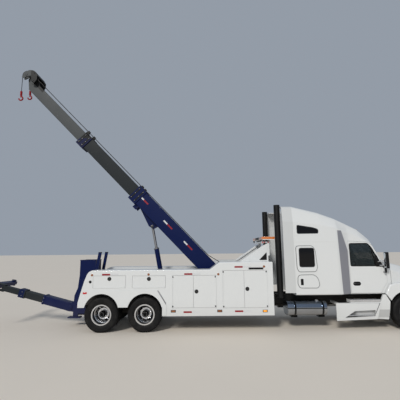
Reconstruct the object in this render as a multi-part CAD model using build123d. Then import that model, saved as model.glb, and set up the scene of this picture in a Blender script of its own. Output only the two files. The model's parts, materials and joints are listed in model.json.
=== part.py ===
"""Heavy recovery truck: a sleeper tractor with a wrecker body, a telescopic boom and an underlift.

Millimetres. +X points to the cab, +Y to the vehicle's left, +Z up, and the ground is Z = 0.
The model is drawn with X = 0 midway between the rear axles and is centred on its box at the end.
"""

import math
import os

from build123d import *

# Chassis and axles
RAIL_INNER = 350
RAIL_WIDTH = 80
RAIL_BOTTOM = 700
RAIL_HEIGHT = 270
RAIL_REAR_X = -1560
RAIL_FRONT_X = 9560
SUBFRAME_HEIGHT = 120
REAR_AXLE_X = 660
FRONT_AXLE_X = 8740
HUB_Z = 517
SPINDLE_R = 60
KING_PIN_Y = 790
KING_PIN_R = 30
RUNNING_GAP = 0.05

# Tyres and wheels
TYRE_R = 517
TYRE_HALF = 138
RIM_R = 283
RIM_HALF = 108
RIM_WALL = 14
FLANGE_R = 306
HUB_R = 105
OUTER_TYRE_Y = 1080
INNER_TYRE_Y = 745
FRONT_TYRE_Y = 1060
HAND_HOLES = 10

# Sleeper and cab shell
SLEEPER_REAR_X = 5300
SLEEPER_HALF = 1220
CAB_HALF = 1050
CAB_FRONT_X = 8330
CAB_FLOOR = 1050
CAB_WALL = 45
GLASS_THICK = 8
GLASS_DEPTH = 12
DOOR_GAP = 6
EXTENDER_REAR_X = 4975
EXTENDER_WALL = 30
STACK_X = 4866
STACK_Y = 980
STACK_R = 98
STACK_TOP = 3870

# Hood and nose
HOOD_GAP = 15
HOOD_WALL = 25
FENDER_HALF = 1150
SKIRT_OUT = 1200
TREAD_BRACKETS = (6650, 7480)
TREAD_TOP = 900
TANK_ROUND = 180
TANK_STRAPS = (5270, 6120)
ARCH_R = 600
HOOD_PIVOT_X = 9840
HOOD_PIVOT_Z = 900
GRILLE_BARS = 9

# Wrecker body
BODY_SIDE = 1285
FLARE_SIDE = 1297
BODY_SKIN = 30
BODY_INNER = 720
BODY_FRONT_X = 4590
BODY_REAR_X = -1360
SIDE_TOP = 1850
RAISED_TOP = 2065
SKIRT_Z = 485
BODY_ROUND = 25
REAR_SKIRT_Z = 750
LEAF_THICK = 26
DECK_THICK = 25
WELL_HALF = 280
WELL_REAR_X = 300
WELL_FRONT_X = 1500
HINGE_R = 5.7
HINGE_OUT = 6
HINGE_LEAF = 28
HINGE_INSET = 20

# Boom
BOOM_ANGLE = 46
BOOM_PIVOT_X = 2750
BOOM_PIVOT_Z = 1720
BOOM_PIN_R = 55
BOOM_AXIS_N = 8
BASE_HALF = 300
BASE_DEPTH = 545
BASE_WALL = 28
BASE_END = 3850
MID_HALF = 240
MID_DEPTH = 450
MID_WALL = 22
MID_TAIL = 2600
MID_END = 6680
TIP_HALF = 190
TIP_DEPTH = 390
TIP_WALL = 20
TIP_TAIL = 5300
TIP_END = 9500
COLLAR_LENGTH = 330
SHEAVE_S = 9890
SHEAVE_N = 149
SHEAVE_R = 140
ROPE_R = 10
ROPE_Y = 290
CHEEK_Y = 330
CHEEK_THICK = 16

# Lift cylinder under the boom
LIFT_PIN_X = 1180
LIFT_PIN_Z = 750
LIFT_EYE_S = 2550
LIFT_EYE_N = -400
BARREL_R = 100
SLEEVE_R = 82
ROD_R = 45
LIFT_PIN_R = 35

# Underlift
ARM_ANGLE = 15
ARM_PIVOT_X = -2000
ARM_PIVOT_Z = 580
ARM_PIN_R = 45
ARM_HALF = 150
ARM_DEPTH = 280
ARM_WALL = 20
ARM_END = 1000
STAGE_HALF = 122
STAGE_DEPTH = 228
STAGE_TAIL = 780
STAGE_END = 1860
TOE_HALF = 92
TOE_DEPTH = 172
TOE_TAIL = 1550
TOE_END = 2500
SWIVEL_S = 2760
CROSSBAR_HALF = 1120


def block(x0, x1, y0, y1, z0, z1):
    """A box between two corners."""
    size = Box(x1 - x0, y1 - y0, z1 - z0)
    return Pos((x0 + x1) / 2, (y0 + y1) / 2, (z0 + z1) / 2) * size


def side_outline(points, radius=0):
    """A face in the X, Z plane at Y = 0."""
    corners = [(x, 0, z) for x, z in points]
    if radius:
        return make_face(FilletPolyline(*corners, radius=radius, close=True))
    return make_face(Polyline(*corners, close=True))


def side_plate(points, y0, y1, radius=0):
    """An X, Z outline swept from y0 to y1."""
    return extrude(Pos(0, y0, 0) * side_outline(points, radius), amount=y1 - y0, dir=(0, 1, 0))


def rod_between(start, end, radius):
    """A round bar from one point to another."""
    first, last = Vector(*start), Vector(*end)
    plane = Plane(origin=first, z_dir=last - first)
    return plane * Cylinder(radius, (last - first).length, align=(Align.CENTER, Align.CENTER, Align.MIN))


def cross_bar(x, z, y0, y1, radius):
    """A round bar along Y."""
    return rod_between((x, y0, z), (x, y1, z), radius)


def both_sides(shape):
    """A shape with its mirror image across the Y = 0 plane."""
    return [shape, mirror(shape, about=Plane.XZ)]


def spun(profile, y=0):
    """A closed (radius, y) profile turned about the Y axis."""
    face = make_face(Polyline(*[(r, offset + y, 0) for r, offset in profile], close=True))
    return revolve(face, axis=Axis.Y)


def tilted(x, z, degrees):
    """The frame of a piece that rises to the rear: its local X runs along it and its local Z across it."""
    angle = math.radians(degrees)
    return Plane(origin=(x, 0, z), x_dir=(-math.cos(angle), 0, math.sin(angle)),
                 z_dir=(math.sin(angle), 0, math.cos(angle)))


BOOM_FRAME = tilted(BOOM_PIVOT_X, BOOM_PIVOT_Z, BOOM_ANGLE)
ARM_FRAME = tilted(ARM_PIVOT_X, ARM_PIVOT_Z, ARM_ANGLE)
RAIL_OUTER = RAIL_INNER + RAIL_WIDTH
RAIL_TOP = RAIL_BOTTOM + RAIL_HEIGHT
DECK_Z = RAIL_TOP + SUBFRAME_HEIGHT
DECK_TOP = DECK_Z + DECK_THICK
FLOOR_TOP = CAB_FLOOR + CAB_WALL


def chassis_frame():
    """Two rails with cross members, the subframe under the body, cab mounts and the cylinder's foot."""
    rail = block(RAIL_REAR_X, RAIL_FRONT_X, RAIL_INNER, RAIL_OUTER, RAIL_BOTTOM, RAIL_TOP)
    pocket = block(RAIL_REAR_X - 1, RAIL_FRONT_X + 1, RAIL_INNER - 1, RAIL_OUTER - 12, RAIL_BOTTOM + 14, RAIL_TOP - 14)
    subframe = block(RAIL_REAR_X, BODY_FRONT_X, RAIL_INNER, RAIL_OUTER, RAIL_TOP, DECK_Z)
    shape = Part() + both_sides(rail - pocket + subframe)
    for x in (-1100, 1500, 2700, 4200, 5600, 7000):
        shape += block(x - 60, x + 60, -RAIL_OUTER + 12, RAIL_OUTER - 12, RAIL_BOTTOM + 14, RAIL_TOP - 14)
    for x in (5600, 7000, 8100):
        for mount in both_sides(block(x - 80, x + 80, RAIL_INNER, RAIL_OUTER, RAIL_TOP, CAB_FLOOR)):
            shape += mount
    shape += block(9505, 9560, -RAIL_OUTER + 12, RAIL_OUTER - 12, 560, RAIL_TOP - 14)
    for ear in both_sides(block(LIFT_PIN_X - 60, 1441, 70, 95, LIFT_PIN_Z - 60, LIFT_PIN_Z + 60)):
        shape += ear
    shape += cross_bar(LIFT_PIN_X, LIFT_PIN_Z, -95, 95, LIFT_PIN_R)
    return shape


def front_axle():
    """The steering axle beam with its two leaf springs and king pins."""
    beam = side_plate([(FRONT_AXLE_X - 60, 330), (FRONT_AXLE_X + 60, 330), (FRONT_AXLE_X + 60, 440),
                       (FRONT_AXLE_X - 60, 440)], -700, 700)
    shape = Part() + beam
    for end in both_sides(block(FRONT_AXLE_X - 50, FRONT_AXLE_X + 50, 640, KING_PIN_Y + 28, HUB_Z - 60, HUB_Z + 60)
                          + block(FRONT_AXLE_X - 50, FRONT_AXLE_X + 50, 600, 700, 340, HUB_Z + 60)):
        shape += end
    for pin in both_sides(rod_between((FRONT_AXLE_X, KING_PIN_Y, HUB_Z - 130), (FRONT_AXLE_X, KING_PIN_Y, HUB_Z + 130),
                                      KING_PIN_R)):
        shape += pin
    spring_y = (RAIL_INNER + RAIL_OUTER) / 2
    leaf = [(FRONT_AXLE_X - 800, RAIL_BOTTOM), (FRONT_AXLE_X - 820, 640), (FRONT_AXLE_X - 100, 440),
            (FRONT_AXLE_X + 100, 440), (FRONT_AXLE_X + 760, 640), (FRONT_AXLE_X + 760, RAIL_BOTTOM),
            (FRONT_AXLE_X + 700, RAIL_BOTTOM), (FRONT_AXLE_X + 100, 500), (FRONT_AXLE_X - 100, 500),
            (FRONT_AXLE_X - 720, RAIL_BOTTOM)]
    for spring in both_sides(side_plate(leaf, spring_y - 38, spring_y + 38)):
        shape += spring
    return shape


def knuckle():
    """A steering yoke round the king pin, with the wheel's spindle, on the left."""
    yoke = block(FRONT_AXLE_X - 60, FRONT_AXLE_X + 60, KING_PIN_Y - 60, 880, HUB_Z - 130, HUB_Z + 130)
    slot = block(FRONT_AXLE_X - 61, FRONT_AXLE_X + 61, KING_PIN_Y - 61, KING_PIN_Y + 60, HUB_Z - 70, HUB_Z + 70)
    bore = rod_between((FRONT_AXLE_X, KING_PIN_Y, HUB_Z - 140), (FRONT_AXLE_X, KING_PIN_Y, HUB_Z + 140),
                       KING_PIN_R + RUNNING_GAP)
    return yoke - slot - bore + cross_bar(FRONT_AXLE_X, HUB_Z, 875, FRONT_TYRE_Y - 20, SPINDLE_R)


def rear_axles():
    """Both drive axles with their differentials, suspension beams and the drive shaft."""
    shape = Part()
    for x in (-REAR_AXLE_X, REAR_AXLE_X):
        shape += cross_bar(x, HUB_Z, -OUTER_TYRE_Y + 60, OUTER_TYRE_Y - 60, SPINDLE_R)
        shape += cross_bar(x, HUB_Z, -520, 520, 75)
        shape += Pos(x, 0, HUB_Z) * Sphere(190)
        for seat in both_sides(block(x - 70, x + 70, RAIL_INNER, RAIL_OUTER, HUB_Z - 90, RAIL_BOTTOM)):
            shape += seat
    for beam in both_sides(block(-REAR_AXLE_X, REAR_AXLE_X, RAIL_INNER + 10, RAIL_OUTER - 10, HUB_Z - 80, HUB_Z + 10)):
        shape += beam
    shape += rod_between((-REAR_AXLE_X, 0, HUB_Z), (REAR_AXLE_X, 0, HUB_Z), 45)
    shape += rod_between((REAR_AXLE_X, 0, HUB_Z), (7100, 0, 640), 50)
    return shape


def tyre(y):
    """A tyre whose middle plane is at y."""
    profile = [(RIM_R, -RIM_HALF), (RIM_R, RIM_HALF), (FLANGE_R, RIM_HALF), (400, TYRE_HALF), (490, TYRE_HALF - 8),
               (TYRE_R, 100), (TYRE_R, -100), (490, -TYRE_HALF + 8), (400, -TYRE_HALF), (FLANGE_R, -RIM_HALF)]
    return spun(profile, y)


def rim(y, dish):
    """A wheel with its rim's middle plane at y and its bolting face at y plus dish."""
    inner = RIM_R - RIM_WALL
    barrel = [(inner, -RIM_HALF - 12), (FLANGE_R, -RIM_HALF - 12), (FLANGE_R, -RIM_HALF), (RIM_R, -RIM_HALF),
              (RIM_R, RIM_HALF), (FLANGE_R, RIM_HALF), (FLANGE_R, RIM_HALF + 12), (inner, RIM_HALF + 12)]
    edge = math.copysign(RIM_HALF - 10, dish)
    thick = math.copysign(14, dish)
    disc = [(inner + 2, edge - thick), (inner + 2, edge), (175, dish), (HUB_R - 2, dish),
            (HUB_R - 2, dish - thick), (170, dish - thick)]
    shape = spun(barrel, y) + spun(disc, y)
    for i in range(HAND_HOLES):
        hole = rod_between((0, y - 400, 222), (0, y + 400, 222), 26)
        shape -= Rot(0, 360 * i / HAND_HOLES, 0) * hole
    return shape


def hub(y0, y1):
    """A hub with a blind running bore for the spindle, closed at its outer end."""
    bore = SPINDLE_R + RUNNING_GAP
    return spun([(bore, y0), (HUB_R, y0), (HUB_R, y1 - 60), (HUB_R - 25, y1), (0, y1), (0, y1 - 30), (bore, y1 - 30)])


def rear_wheel():
    """A pair of dished rims back to back on one hub, on the left, about the origin."""
    middle = (OUTER_TYRE_Y + INNER_TYRE_Y) / 2
    dish = OUTER_TYRE_Y - middle
    return rim(OUTER_TYRE_Y, -dish) + rim(INNER_TYRE_Y, dish) + hub(INNER_TYRE_Y - 60, OUTER_TYRE_Y + 40)


def front_wheel():
    """A front wheel with its hub, on the left, about the origin."""
    return rim(FRONT_TYRE_Y, 60) + hub(FRONT_TYRE_Y - 110, FRONT_TYRE_Y + 110)


def on_axle(shape, x, side):
    """A wheel drawn on the left, moved to an axle and to its side."""
    turned = shape if side > 0 else mirror(shape, about=Plane.XZ)
    return Pos(x, 0, HUB_Z) * turned


# Shell sections from the sleeper's rear to the cowl: x, half width, height of the shoulder's lower edge,
# half width of the roof, roof height, radius of the shoulder and radius of the roof's edge.
CAB_SECTIONS = [
    (SLEEPER_REAR_X, SLEEPER_HALF, 3300, SLEEPER_HALF - 110, 3816, 60, 150),
    (6150, SLEEPER_HALF, 3206, SLEEPER_HALF - 137, 3606, 60, 150),
    (6680, SLEEPER_HALF, 3075, SLEEPER_HALF - 200, 3420, 60, 150),
    (7060, CAB_HALF + 5, 2960, CAB_HALF - 100, 3255, 60, 120),
    (7450, CAB_HALF, 2790, CAB_HALF - 170, 3070, 60, 110),
    (7800, CAB_HALF, 2590, CAB_HALF - 190, 2765, 60, 80),
    (8200, CAB_HALF, 1890, CAB_HALF - 200, 2080, 50, 60),
    (CAB_FRONT_X, CAB_HALF - 10, 1765, CAB_HALF - 220, 1950, 50, 60),
]


def shell_section(row, inset, floor):
    """One closed cross-section of the cab shell, drawn smaller by inset all round."""
    x, half, shoulder_z, roof_half, roof_z, shoulder_r, roof_r = row
    low, wide, roof = floor + inset, half - inset, roof_half - inset * 0.7
    points = [(x, -wide, low), (x, wide, low), (x, wide, shoulder_z - inset * 0.4), (x, roof, roof_z - inset),
              (x, -roof, roof_z - inset), (x, -wide, shoulder_z - inset * 0.4)]
    radii = [40, 40, shoulder_r, roof_r, roof_r, shoulder_r]
    return make_face(FilletPolyline(*points, radius=radii, close=True))


def shell_body(inset):
    """The cab and sleeper as one solid, smaller by inset all round but with its full length."""
    return loft([shell_section(row, inset, CAB_FLOOR) for row in CAB_SECTIONS], ruled=True)


DOOR_OUTLINE = [(7060, 1075), (7060, 2690), (7705, 2655), (7850, 2520), (7968, 2275), (8080, 2030), (8155, 1900),
                (8210, 1780), (8210, 1420), (7995, 1075)]
DOOR_WINDOW = [(7105, 1905), (7095, 2610), (7680, 2610), (7800, 2470), (7910, 2240), (8015, 2010), (8020, 1905)]
SLEEPER_WINDOW = [(5440, 1895), (5440, 2480), (5915, 2480), (5915, 1895)]
UPPER_WINDOW = [(5415, 2925), (5415, 3200), (5930, 3115), (6085, 3060), (6085, 2930)]
WINDSHIELD_TOP = 2850
WINDSHIELD_BOTTOM = 2070


def grown(points, gap):
    """An outline moved outwards by gap, or inwards where gap is negative."""
    return offset(side_outline(points), amount=gap, kind=Kind.INTERSECTION)


def window_cut(points, y0=1000, y1=1400):
    """A side window's opening with rounded corners, on the left."""
    return side_plate(points, y0, y1, radius=50)


def windshield_cut():
    """The opening of the windshield, seen from the front."""
    corners = [(7300, -800, WINDSHIELD_BOTTOM), (7300, 800, WINDSHIELD_BOTTOM), (7300, 730, WINDSHIELD_TOP),
               (7300, -730, WINDSHIELD_TOP)]
    return extrude(make_face(FilletPolyline(*corners, radius=60, close=True)), amount=1400, dir=(1, 0, 0))


def door_prism(gap, inner):
    """The volume that holds the left door from y inner outwards, smaller by gap all round its edge."""
    return extrude(Pos(0, inner, 0) * grown(DOOR_OUTLINE, -gap), amount=400, dir=(0, 1, 0))


def cab_pieces():
    """The hollow cab shell, the left door and the fixed glass, cut from the same surfaces."""
    outer = shell_body(0)
    room = shell_body(CAB_WALL) & block(SLEEPER_REAR_X + CAB_WALL, CAB_FRONT_X - CAB_WALL, -2000, 2000, 0, 5000)
    walls = outer - room
    door = (walls & door_prism(DOOR_GAP, 990)) - window_cut(DOOR_WINDOW)
    shell = walls - windshield_cut()
    for cut in (door_prism(0, 950), window_cut(SLEEPER_WINDOW), window_cut(UPPER_WINDOW)):
        for opening in both_sides(cut):
            shell -= opening
    panes = [(shell_body(GLASS_DEPTH) - shell_body(GLASS_DEPTH + GLASS_THICK)) & windshield_cut()]
    outside = SLEEPER_HALF - GLASS_DEPTH
    for outline in (SLEEPER_WINDOW, UPPER_WINDOW):
        panes += both_sides(window_cut(outline, outside - GLASS_THICK, outside))
    return shell, door, Compound(children=[Compound(p.solids()) for p in panes])


def cab_interior():
    """Two seats, the dashboard with its wheel and the bunk, all on the cab's floor."""
    pieces = []
    for y in (-520, 520):
        seat = block(7180, 7700, y - 260, y + 260, FLOOR_TOP, FLOOR_TOP + 460)
        back = side_plate([(7180, FLOOR_TOP + 450), (7320, FLOOR_TOP + 450), (7240, FLOOR_TOP + 1180),
                           (7120, FLOOR_TOP + 1180)], y - 240, y + 240)
        pieces.append(seat + back)
    dash = side_plate([(8270, FLOOR_TOP), (8270, 1800), (8060, 1800), (7960, 1640), (8050, 1400), (8150, FLOOR_TOP)],
                      -960, 960)
    column = rod_between((8100, 520, 1640), (7860, 520, 1800), 30)
    wheel = Plane(origin=(7850, 520, 1807), z_dir=(-240, 0, 160)) * Torus(210, 16)
    spokes = Plane(origin=(7850, 520, 1807), z_dir=(-240, 0, 160)) * Box(400, 40, 16)
    pieces.append(dash + column + wheel + spokes)
    pieces.append(block(SLEEPER_REAR_X + CAB_WALL, 6150, -1100, 1100, FLOOR_TOP, FLOOR_TOP + 560))
    return Compound(children=[Compound(p.solids()) for p in pieces])


def side_extenders():
    """The panels that carry the sleeper's sides back towards the body."""
    row = CAB_SECTIONS[0]
    outer = extrude(shell_section(row, 0, CAB_FLOOR), amount=SLEEPER_REAR_X - EXTENDER_REAR_X, dir=(-1, 0, 0))
    inner = extrude(shell_section(row, EXTENDER_WALL, CAB_FLOOR), amount=SLEEPER_REAR_X - EXTENDER_REAR_X,
                    dir=(-1, 0, 0))
    side = (outer - inner) & block(0, 9000, 760, 2000, 1120, 5000)
    return Compound(both_sides(side))


# Hood sections from the cowl to the grille: x, half width, shoulder, half width on top, top, and radii.
HOOD_SECTIONS = [
    (CAB_FRONT_X + HOOD_GAP, CAB_HALF - 10, 1765, CAB_HALF - 220, 2005, 100, 120),
    (8700, CAB_HALF - 75, 1690, CAB_HALF - 300, 1930, 110, 140),
    (9150, CAB_HALF - 190, 1570, CAB_HALF - 430, 1810, 110, 140),
    (9600, CAB_HALF - 410, 1420, CAB_HALF - 570, 1630, 80, 100),
    (9800, CAB_HALF - 530, 1330, CAB_HALF - 650, 1490, 50, 60),
]
FENDER_OUTLINE = [(8225, 870), (8085, 1062), (8225, 1330), (8420, 1385), (8900, 1385), (9350, 1300), (9600, 1180),
                  (9740, 1040), (9800, 905), (9800, 870)]
FENDER_INSIDE = [(8245, 860), (8115, 1064), (8245, 1310), (8425, 1360), (8895, 1360), (9340, 1276), (9585, 1160),
                 (9718, 1030), (9770, 905), (9770, 860)]


def hood():
    """The tilting hood with both front fenders, open below."""
    low = 870
    outer = loft([shell_section(row, 0, low) for row in HOOD_SECTIONS], ruled=True)
    inner = loft([shell_section(row, HOOD_WALL, low - 100) for row in HOOD_SECTIONS], ruled=True)
    inner = inner & block(0, HOOD_SECTIONS[-1][0] - HOOD_WALL, -2000, 2000, 0, 5000)
    fender = side_plate(FENDER_OUTLINE, 300, FENDER_HALF)
    fender = fillet(fender.faces().sort_by(Axis.Y)[-1].edges().filter_by(lambda e: e.center().Z > 1100), 40)
    room = side_plate(FENDER_INSIDE, 290, FENDER_HALF - HOOD_WALL)
    behind = block(7000, CAB_FRONT_X + HOOD_GAP, 0, CAB_HALF + 40, 0, 3000)
    shape = Part() + outer + both_sides(fender)
    for cut in both_sides(room) + both_sides(behind):
        shape -= cut
    shape -= inner
    for cut in both_sides(cross_bar(FRONT_AXLE_X, 550, 300, 1300, ARCH_R)) + headlamps():
        shape -= cut
    return shape - block(7000, 10500, -2000, 2000, 0, 871)


def headlamps():
    """The two headlamps, set into the fenders' fronts."""
    return both_sides(block(9640, 9760, 720, 1010, 960, 1150))


def front_trim():
    """The grille and the two headlamps on the hood's nose."""
    x = HOOD_SECTIONS[-1][0]
    frame = block(x, x + 30, -400, 400, 900, 1450) - block(x - 1, x + 31, -360, 360, 940, 1410)
    shape = Part() + fillet(frame.edges().filter_by(Axis.X), 15)
    for i in range(GRILLE_BARS):
        z = 960 + i * 50
        blade = side_plate([(x, z), (x + 22, z + 6), (x + 22, z + 20), (x, z + 14)], -370, 370)
        shape += blade
    shape += block(x, x + 26, -12, 12, 930, 1420)
    return Compound(children=[Compound(shape.solids())] + headlamps())


def bumper():
    """The front bumper, swept back at its ends and open to the rear."""
    outline = [(9560, 380), (9940, 350), (10000, 480), (10000, 760), (9950, 850), (9560, 850)]
    inside = [(9550, 400), (9930, 375), (9970, 485), (9970, 750), (9930, 825), (9550, 825)]
    plan = make_face(Polyline((9560, -1210, 0), (9560, 1210, 0), (9720, 1190, 0), (9900, 1000, 0), (10000, 620, 0),
                              (10000, -620, 0), (9900, -1000, 0), (9720, -1190, 0), close=True))
    shape = side_plate(outline, -1210, 1210) & extrude(plan, amount=1000, dir=(0, 0, 1))
    small = scale(plan, by=(0.995, 0.97, 1))
    shape -= side_plate(inside, -1210, 1210) & extrude(small, amount=1000, dir=(0, 0, 1))
    for bracket in both_sides(block(9560, 9975, RAIL_INNER, RAIL_INNER + 60, 560, 800)):
        shape += bracket
    return shape


FAIRING_OUTLINE = [(6495, 290), (7735, 335), (7780, 500), (7865, 812), (6495, 812)]
STEP_RECESS = [(6734, 375), (7670, 420), (7690, 598), (7053, 574)]
REAR_MUDGUARD = [(7748, 335), (8090, 310), (8150, 570), (8185, 835), (8066, 1045), (7990, 1045), (7880, 805),
                 (7795, 500)]


def step_fairings():
    """The skins below the cab with a step pan and a tread, and the mudguards behind the front wheels."""
    skin = side_plate(FAIRING_OUTLINE, SKIRT_OUT - 35, SKIRT_OUT)
    pan = extrude(Pos(0, SKIRT_OUT - 115, 0) * grown(STEP_RECESS, 14), amount=90, dir=(0, 1, 0))
    shape = skin + pan - side_plate(STEP_RECESS, SKIRT_OUT - 103, SKIRT_OUT + 1)
    shape += block(6950, 7865, 905, SKIRT_OUT - 20, 805, TREAD_TOP)
    shape -= block(6965, 7850, 904, SKIRT_OUT - 35, 800, TREAD_TOP - 15)
    for x in TREAD_BRACKETS:
        shape += block(x - 40, x + 40, RAIL_OUTER, SKIRT_OUT - 34, 720, 780)
    shape += block(TREAD_BRACKETS[-1] - 40, TREAD_BRACKETS[-1] + 40, 1000, SKIRT_OUT - 34, 779, TREAD_TOP - 14)
    guard = side_plate(REAR_MUDGUARD, 1090, FENDER_HALF)
    guard += block(7835, 7900, RAIL_OUTER, 1100, 720, 780)
    return Compound(both_sides(shape) + both_sides(guard))


def fuel_tanks():
    """A well rounded tank with two straps and two feet on each side."""
    low, high, inner, outer = 430, 845, 560, 1150
    tank = fillet(block(5040, 6240, inner, outer, low, high).edges().filter_by(Axis.X), TANK_ROUND)
    for x in TANK_STRAPS:
        strap = block(x - 30, x + 30, inner - 8, outer + 8, low - 8, high + 8)
        tank += fillet(strap.edges().filter_by(Axis.X), TANK_ROUND + 8)
        tank += block(x - 40, x + 40, RAIL_OUTER, inner + 60, 620, 780)
        tank += block(x - 95, x + 95, inner + 200, outer - 190, low - 70, low + 6)
    return Compound(both_sides(tank))


def engine():
    """The engine with its sump, cover, fan and gearbox, and the radiator in front of it."""
    rear, front = 8400, 9290
    shape = block(rear, front, -230, 230, 800, 1400)
    shape += fillet(block(rear + 40, front - 60, -150, 150, 1399, 1540).edges().filter_by(Axis.X), 40)
    shape += block(rear + 60, front - 80, -160, 160, 600, 801)
    for x in (8450, 9100):
        shape += block(x, x + 100, -RAIL_OUTER, RAIL_OUTER, RAIL_TOP, RAIL_TOP + 60)
    gearbox_z = 850
    shape += rod_between((rear + 1, 0, gearbox_z), (8200, 0, gearbox_z), 180)
    shape += rod_between((8201, 0, gearbox_z), (7340, 0, gearbox_z), 150)
    shape += block(7320, 7400, -130, 130, 560, gearbox_z)
    shape += rod_between((7330, 0, 640), (7102, 0, 640), 80)
    shape += rod_between((front - 1, 0, 1100), (front + 90, 0, 1100), 60)
    shape += rod_between((front + 60, 0, 1100), (front + 85, 0, 1100), 300)
    runners = rod_between((rear + 80, 295, 1255), (rear + 790, 295, 1255), 42)
    for i in range(6):
        x = rear + 110 + i * 130
        runners += rod_between((x, 225, 1300), (x, 290, 1260), 32)
    for bank in both_sides(runners):
        shape += bank
    radiator = block(9420, 9490, -RAIL_OUTER, RAIL_OUTER, RAIL_TOP, 1380)
    return Compound(children=[Compound(shape.solids()), Compound(radiator.solids())])


def exhaust_stacks():
    """Two upright stacks behind the sleeper with their feet on the rails."""
    stack = rod_between((STACK_X, STACK_Y, 960), (STACK_X, STACK_Y, STACK_TOP), STACK_R)
    stack -= rod_between((STACK_X, STACK_Y, 3300), (STACK_X, STACK_Y, STACK_TOP + 10), STACK_R - 8)
    foot = block(STACK_X - 60, STACK_X + 60, RAIL_INNER, STACK_Y + 50, RAIL_TOP, RAIL_TOP + 50)
    return Compound(both_sides(stack + foot))


def mirror_head():
    """An outside mirror on its two arms from the door, on the left."""
    head = fillet(block(8095, 8205, 1170, 1290, 1840, 2330).edges().filter_by(Axis.Z), 30)
    arm = block(8115, 8143, 1030, 1180, 1845, 1875) + block(8115, 8143, 1030, 1180, 1700, 1730)
    post = block(8105, 8155, 1140, 1180, 1700, 1900)
    return (head + arm + post) - shell_body(0)


# Compartments: rear x, front x, floor, ceiling of the hollow.
COMPARTMENTS = [(-1020, 130, 1230, 1820), (170, 1400, 1230, 1820), (1440, 2930, 515, 1820), (2970, 4560, 515, 2035)]
# Tall doors: rear edge, front edge, seam, bottom, top.
TALL_DOORS = [(1500, 2845, 2150, 720, 1680), (3040, 4410, 3700, 707, 1820)]
# Drop doors: rear edge, front edge, bottom, top.
DROP_DOORS = [(-920, 80, 1320, 1690), (280, 1300, 1315, 1680)]
ARCH_CENTRES = [-REAR_AXLE_X + 15, REAR_AXLE_X + 12]
BODY_OUTLINE = [(BODY_REAR_X, REAR_SKIRT_Z), (BODY_REAR_X, 900), (-1290, 1170), (-1190, 1520), (-1110, 1730),
                (-1060, 1800), (-960, SIDE_TOP), (2660, SIDE_TOP), (2960, RAISED_TOP), (BODY_FRONT_X, RAISED_TOP),
                (BODY_FRONT_X, SKIRT_Z), (1203, SKIRT_Z), (1203, REAR_SKIRT_Z)]
FLARE_OUTLINE = [(BODY_REAR_X, REAR_SKIRT_Z), (-1290, 1000), (-990, 1240), (1040, 1240), (1336, 790), (1336, 500),
                 (1203, 500), (1203, REAR_SKIRT_Z)]


def wrecker_body():
    """Both side bodies with their hollow compartments and wheel arches, joined by the deck."""
    side = side_plate(BODY_OUTLINE, BODY_INNER, BODY_SIDE)
    upper = side.faces().sort_by(Axis.Y)[-1].edges().filter_by(lambda e: e.center().Z > SIDE_TOP - 10)
    side = fillet(upper, BODY_ROUND)
    side += side_plate(FLARE_OUTLINE, BODY_SIDE - 1, FLARE_SIDE)
    for x0, x1, z0, z1 in COMPARTMENTS:
        side -= block(x0, x1, BODY_INNER + BODY_SKIN, BODY_SIDE - BODY_SKIN, z0, z1)
    side -= block(-1290, 1300, BODY_INNER - 1, BODY_SIDE - BODY_SKIN, 0, 1200)
    for x in ARCH_CENTRES:
        side -= cross_bar(x, 620, 900, 1400, 530)
        side -= block(x - 530, x + 530, 900, 1400, 0, 620)
    for x0, x1, seam, z0, z1 in TALL_DOORS:
        side -= block(x0, x1, BODY_SIDE - BODY_SKIN - 1, BODY_SIDE + 1, z0, z1)
    for x0, x1, z0, z1 in DROP_DOORS:
        side -= block(x0, x1, BODY_SIDE - BODY_SKIN - 1, BODY_SIDE + 1, z0, z1)
    deck = [block(-1150, WELL_REAR_X, -BODY_INNER, BODY_INNER, DECK_Z, DECK_TOP),
            block(WELL_FRONT_X, BODY_FRONT_X, -BODY_INNER, BODY_INNER, DECK_Z, DECK_TOP)]
    deck += both_sides(block(WELL_REAR_X, WELL_FRONT_X, WELL_HALF, BODY_INNER, DECK_Z, DECK_TOP))
    return Compound(both_sides(side) + deck)


def tall_leaf(x0, x1, z0, z1, hinge_x, latch_x):
    """One leaf of a tall compartment door with its long hinge, on the left."""
    leaf = block(x0, x1, BODY_SIDE - LEAF_THICK, BODY_SIDE, z0, z1)
    hinge_y, low, high = BODY_SIDE + HINGE_OUT, z0 + HINGE_INSET, z1 - HINGE_INSET
    leaf += rod_between((hinge_x, hinge_y, low), (hinge_x, hinge_y, high), HINGE_R)
    strap = sorted((hinge_x, hinge_x + math.copysign(HINGE_LEAF, (x0 + x1) / 2 - hinge_x)))
    leaf += block(*strap, BODY_SIDE - 1, hinge_y - 1, low, high)
    if latch_x:
        leaf += cross_bar(latch_x, (z0 + z1) / 2, BODY_SIDE - 1, BODY_SIDE + 12, 45)
    return leaf


def drop_door(x0, x1, z0, z1):
    """A compartment door with a long hinge along its bottom edge, on the left."""
    leaf = block(x0, x1, BODY_SIDE - LEAF_THICK, BODY_SIDE, z0, z1)
    hinge_y, rear, front = BODY_SIDE + HINGE_OUT, x0 + HINGE_INSET, x1 - HINGE_INSET
    leaf += rod_between((rear, hinge_y, z0), (front, hinge_y, z0), HINGE_R)
    leaf += block(rear, front, BODY_SIDE - 1, hinge_y - 1, z0, z0 + HINGE_LEAF)
    return leaf + cross_bar((x0 + x1) / 2, z1 - 90, BODY_SIDE - 1, BODY_SIDE + 12, 45)


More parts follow.
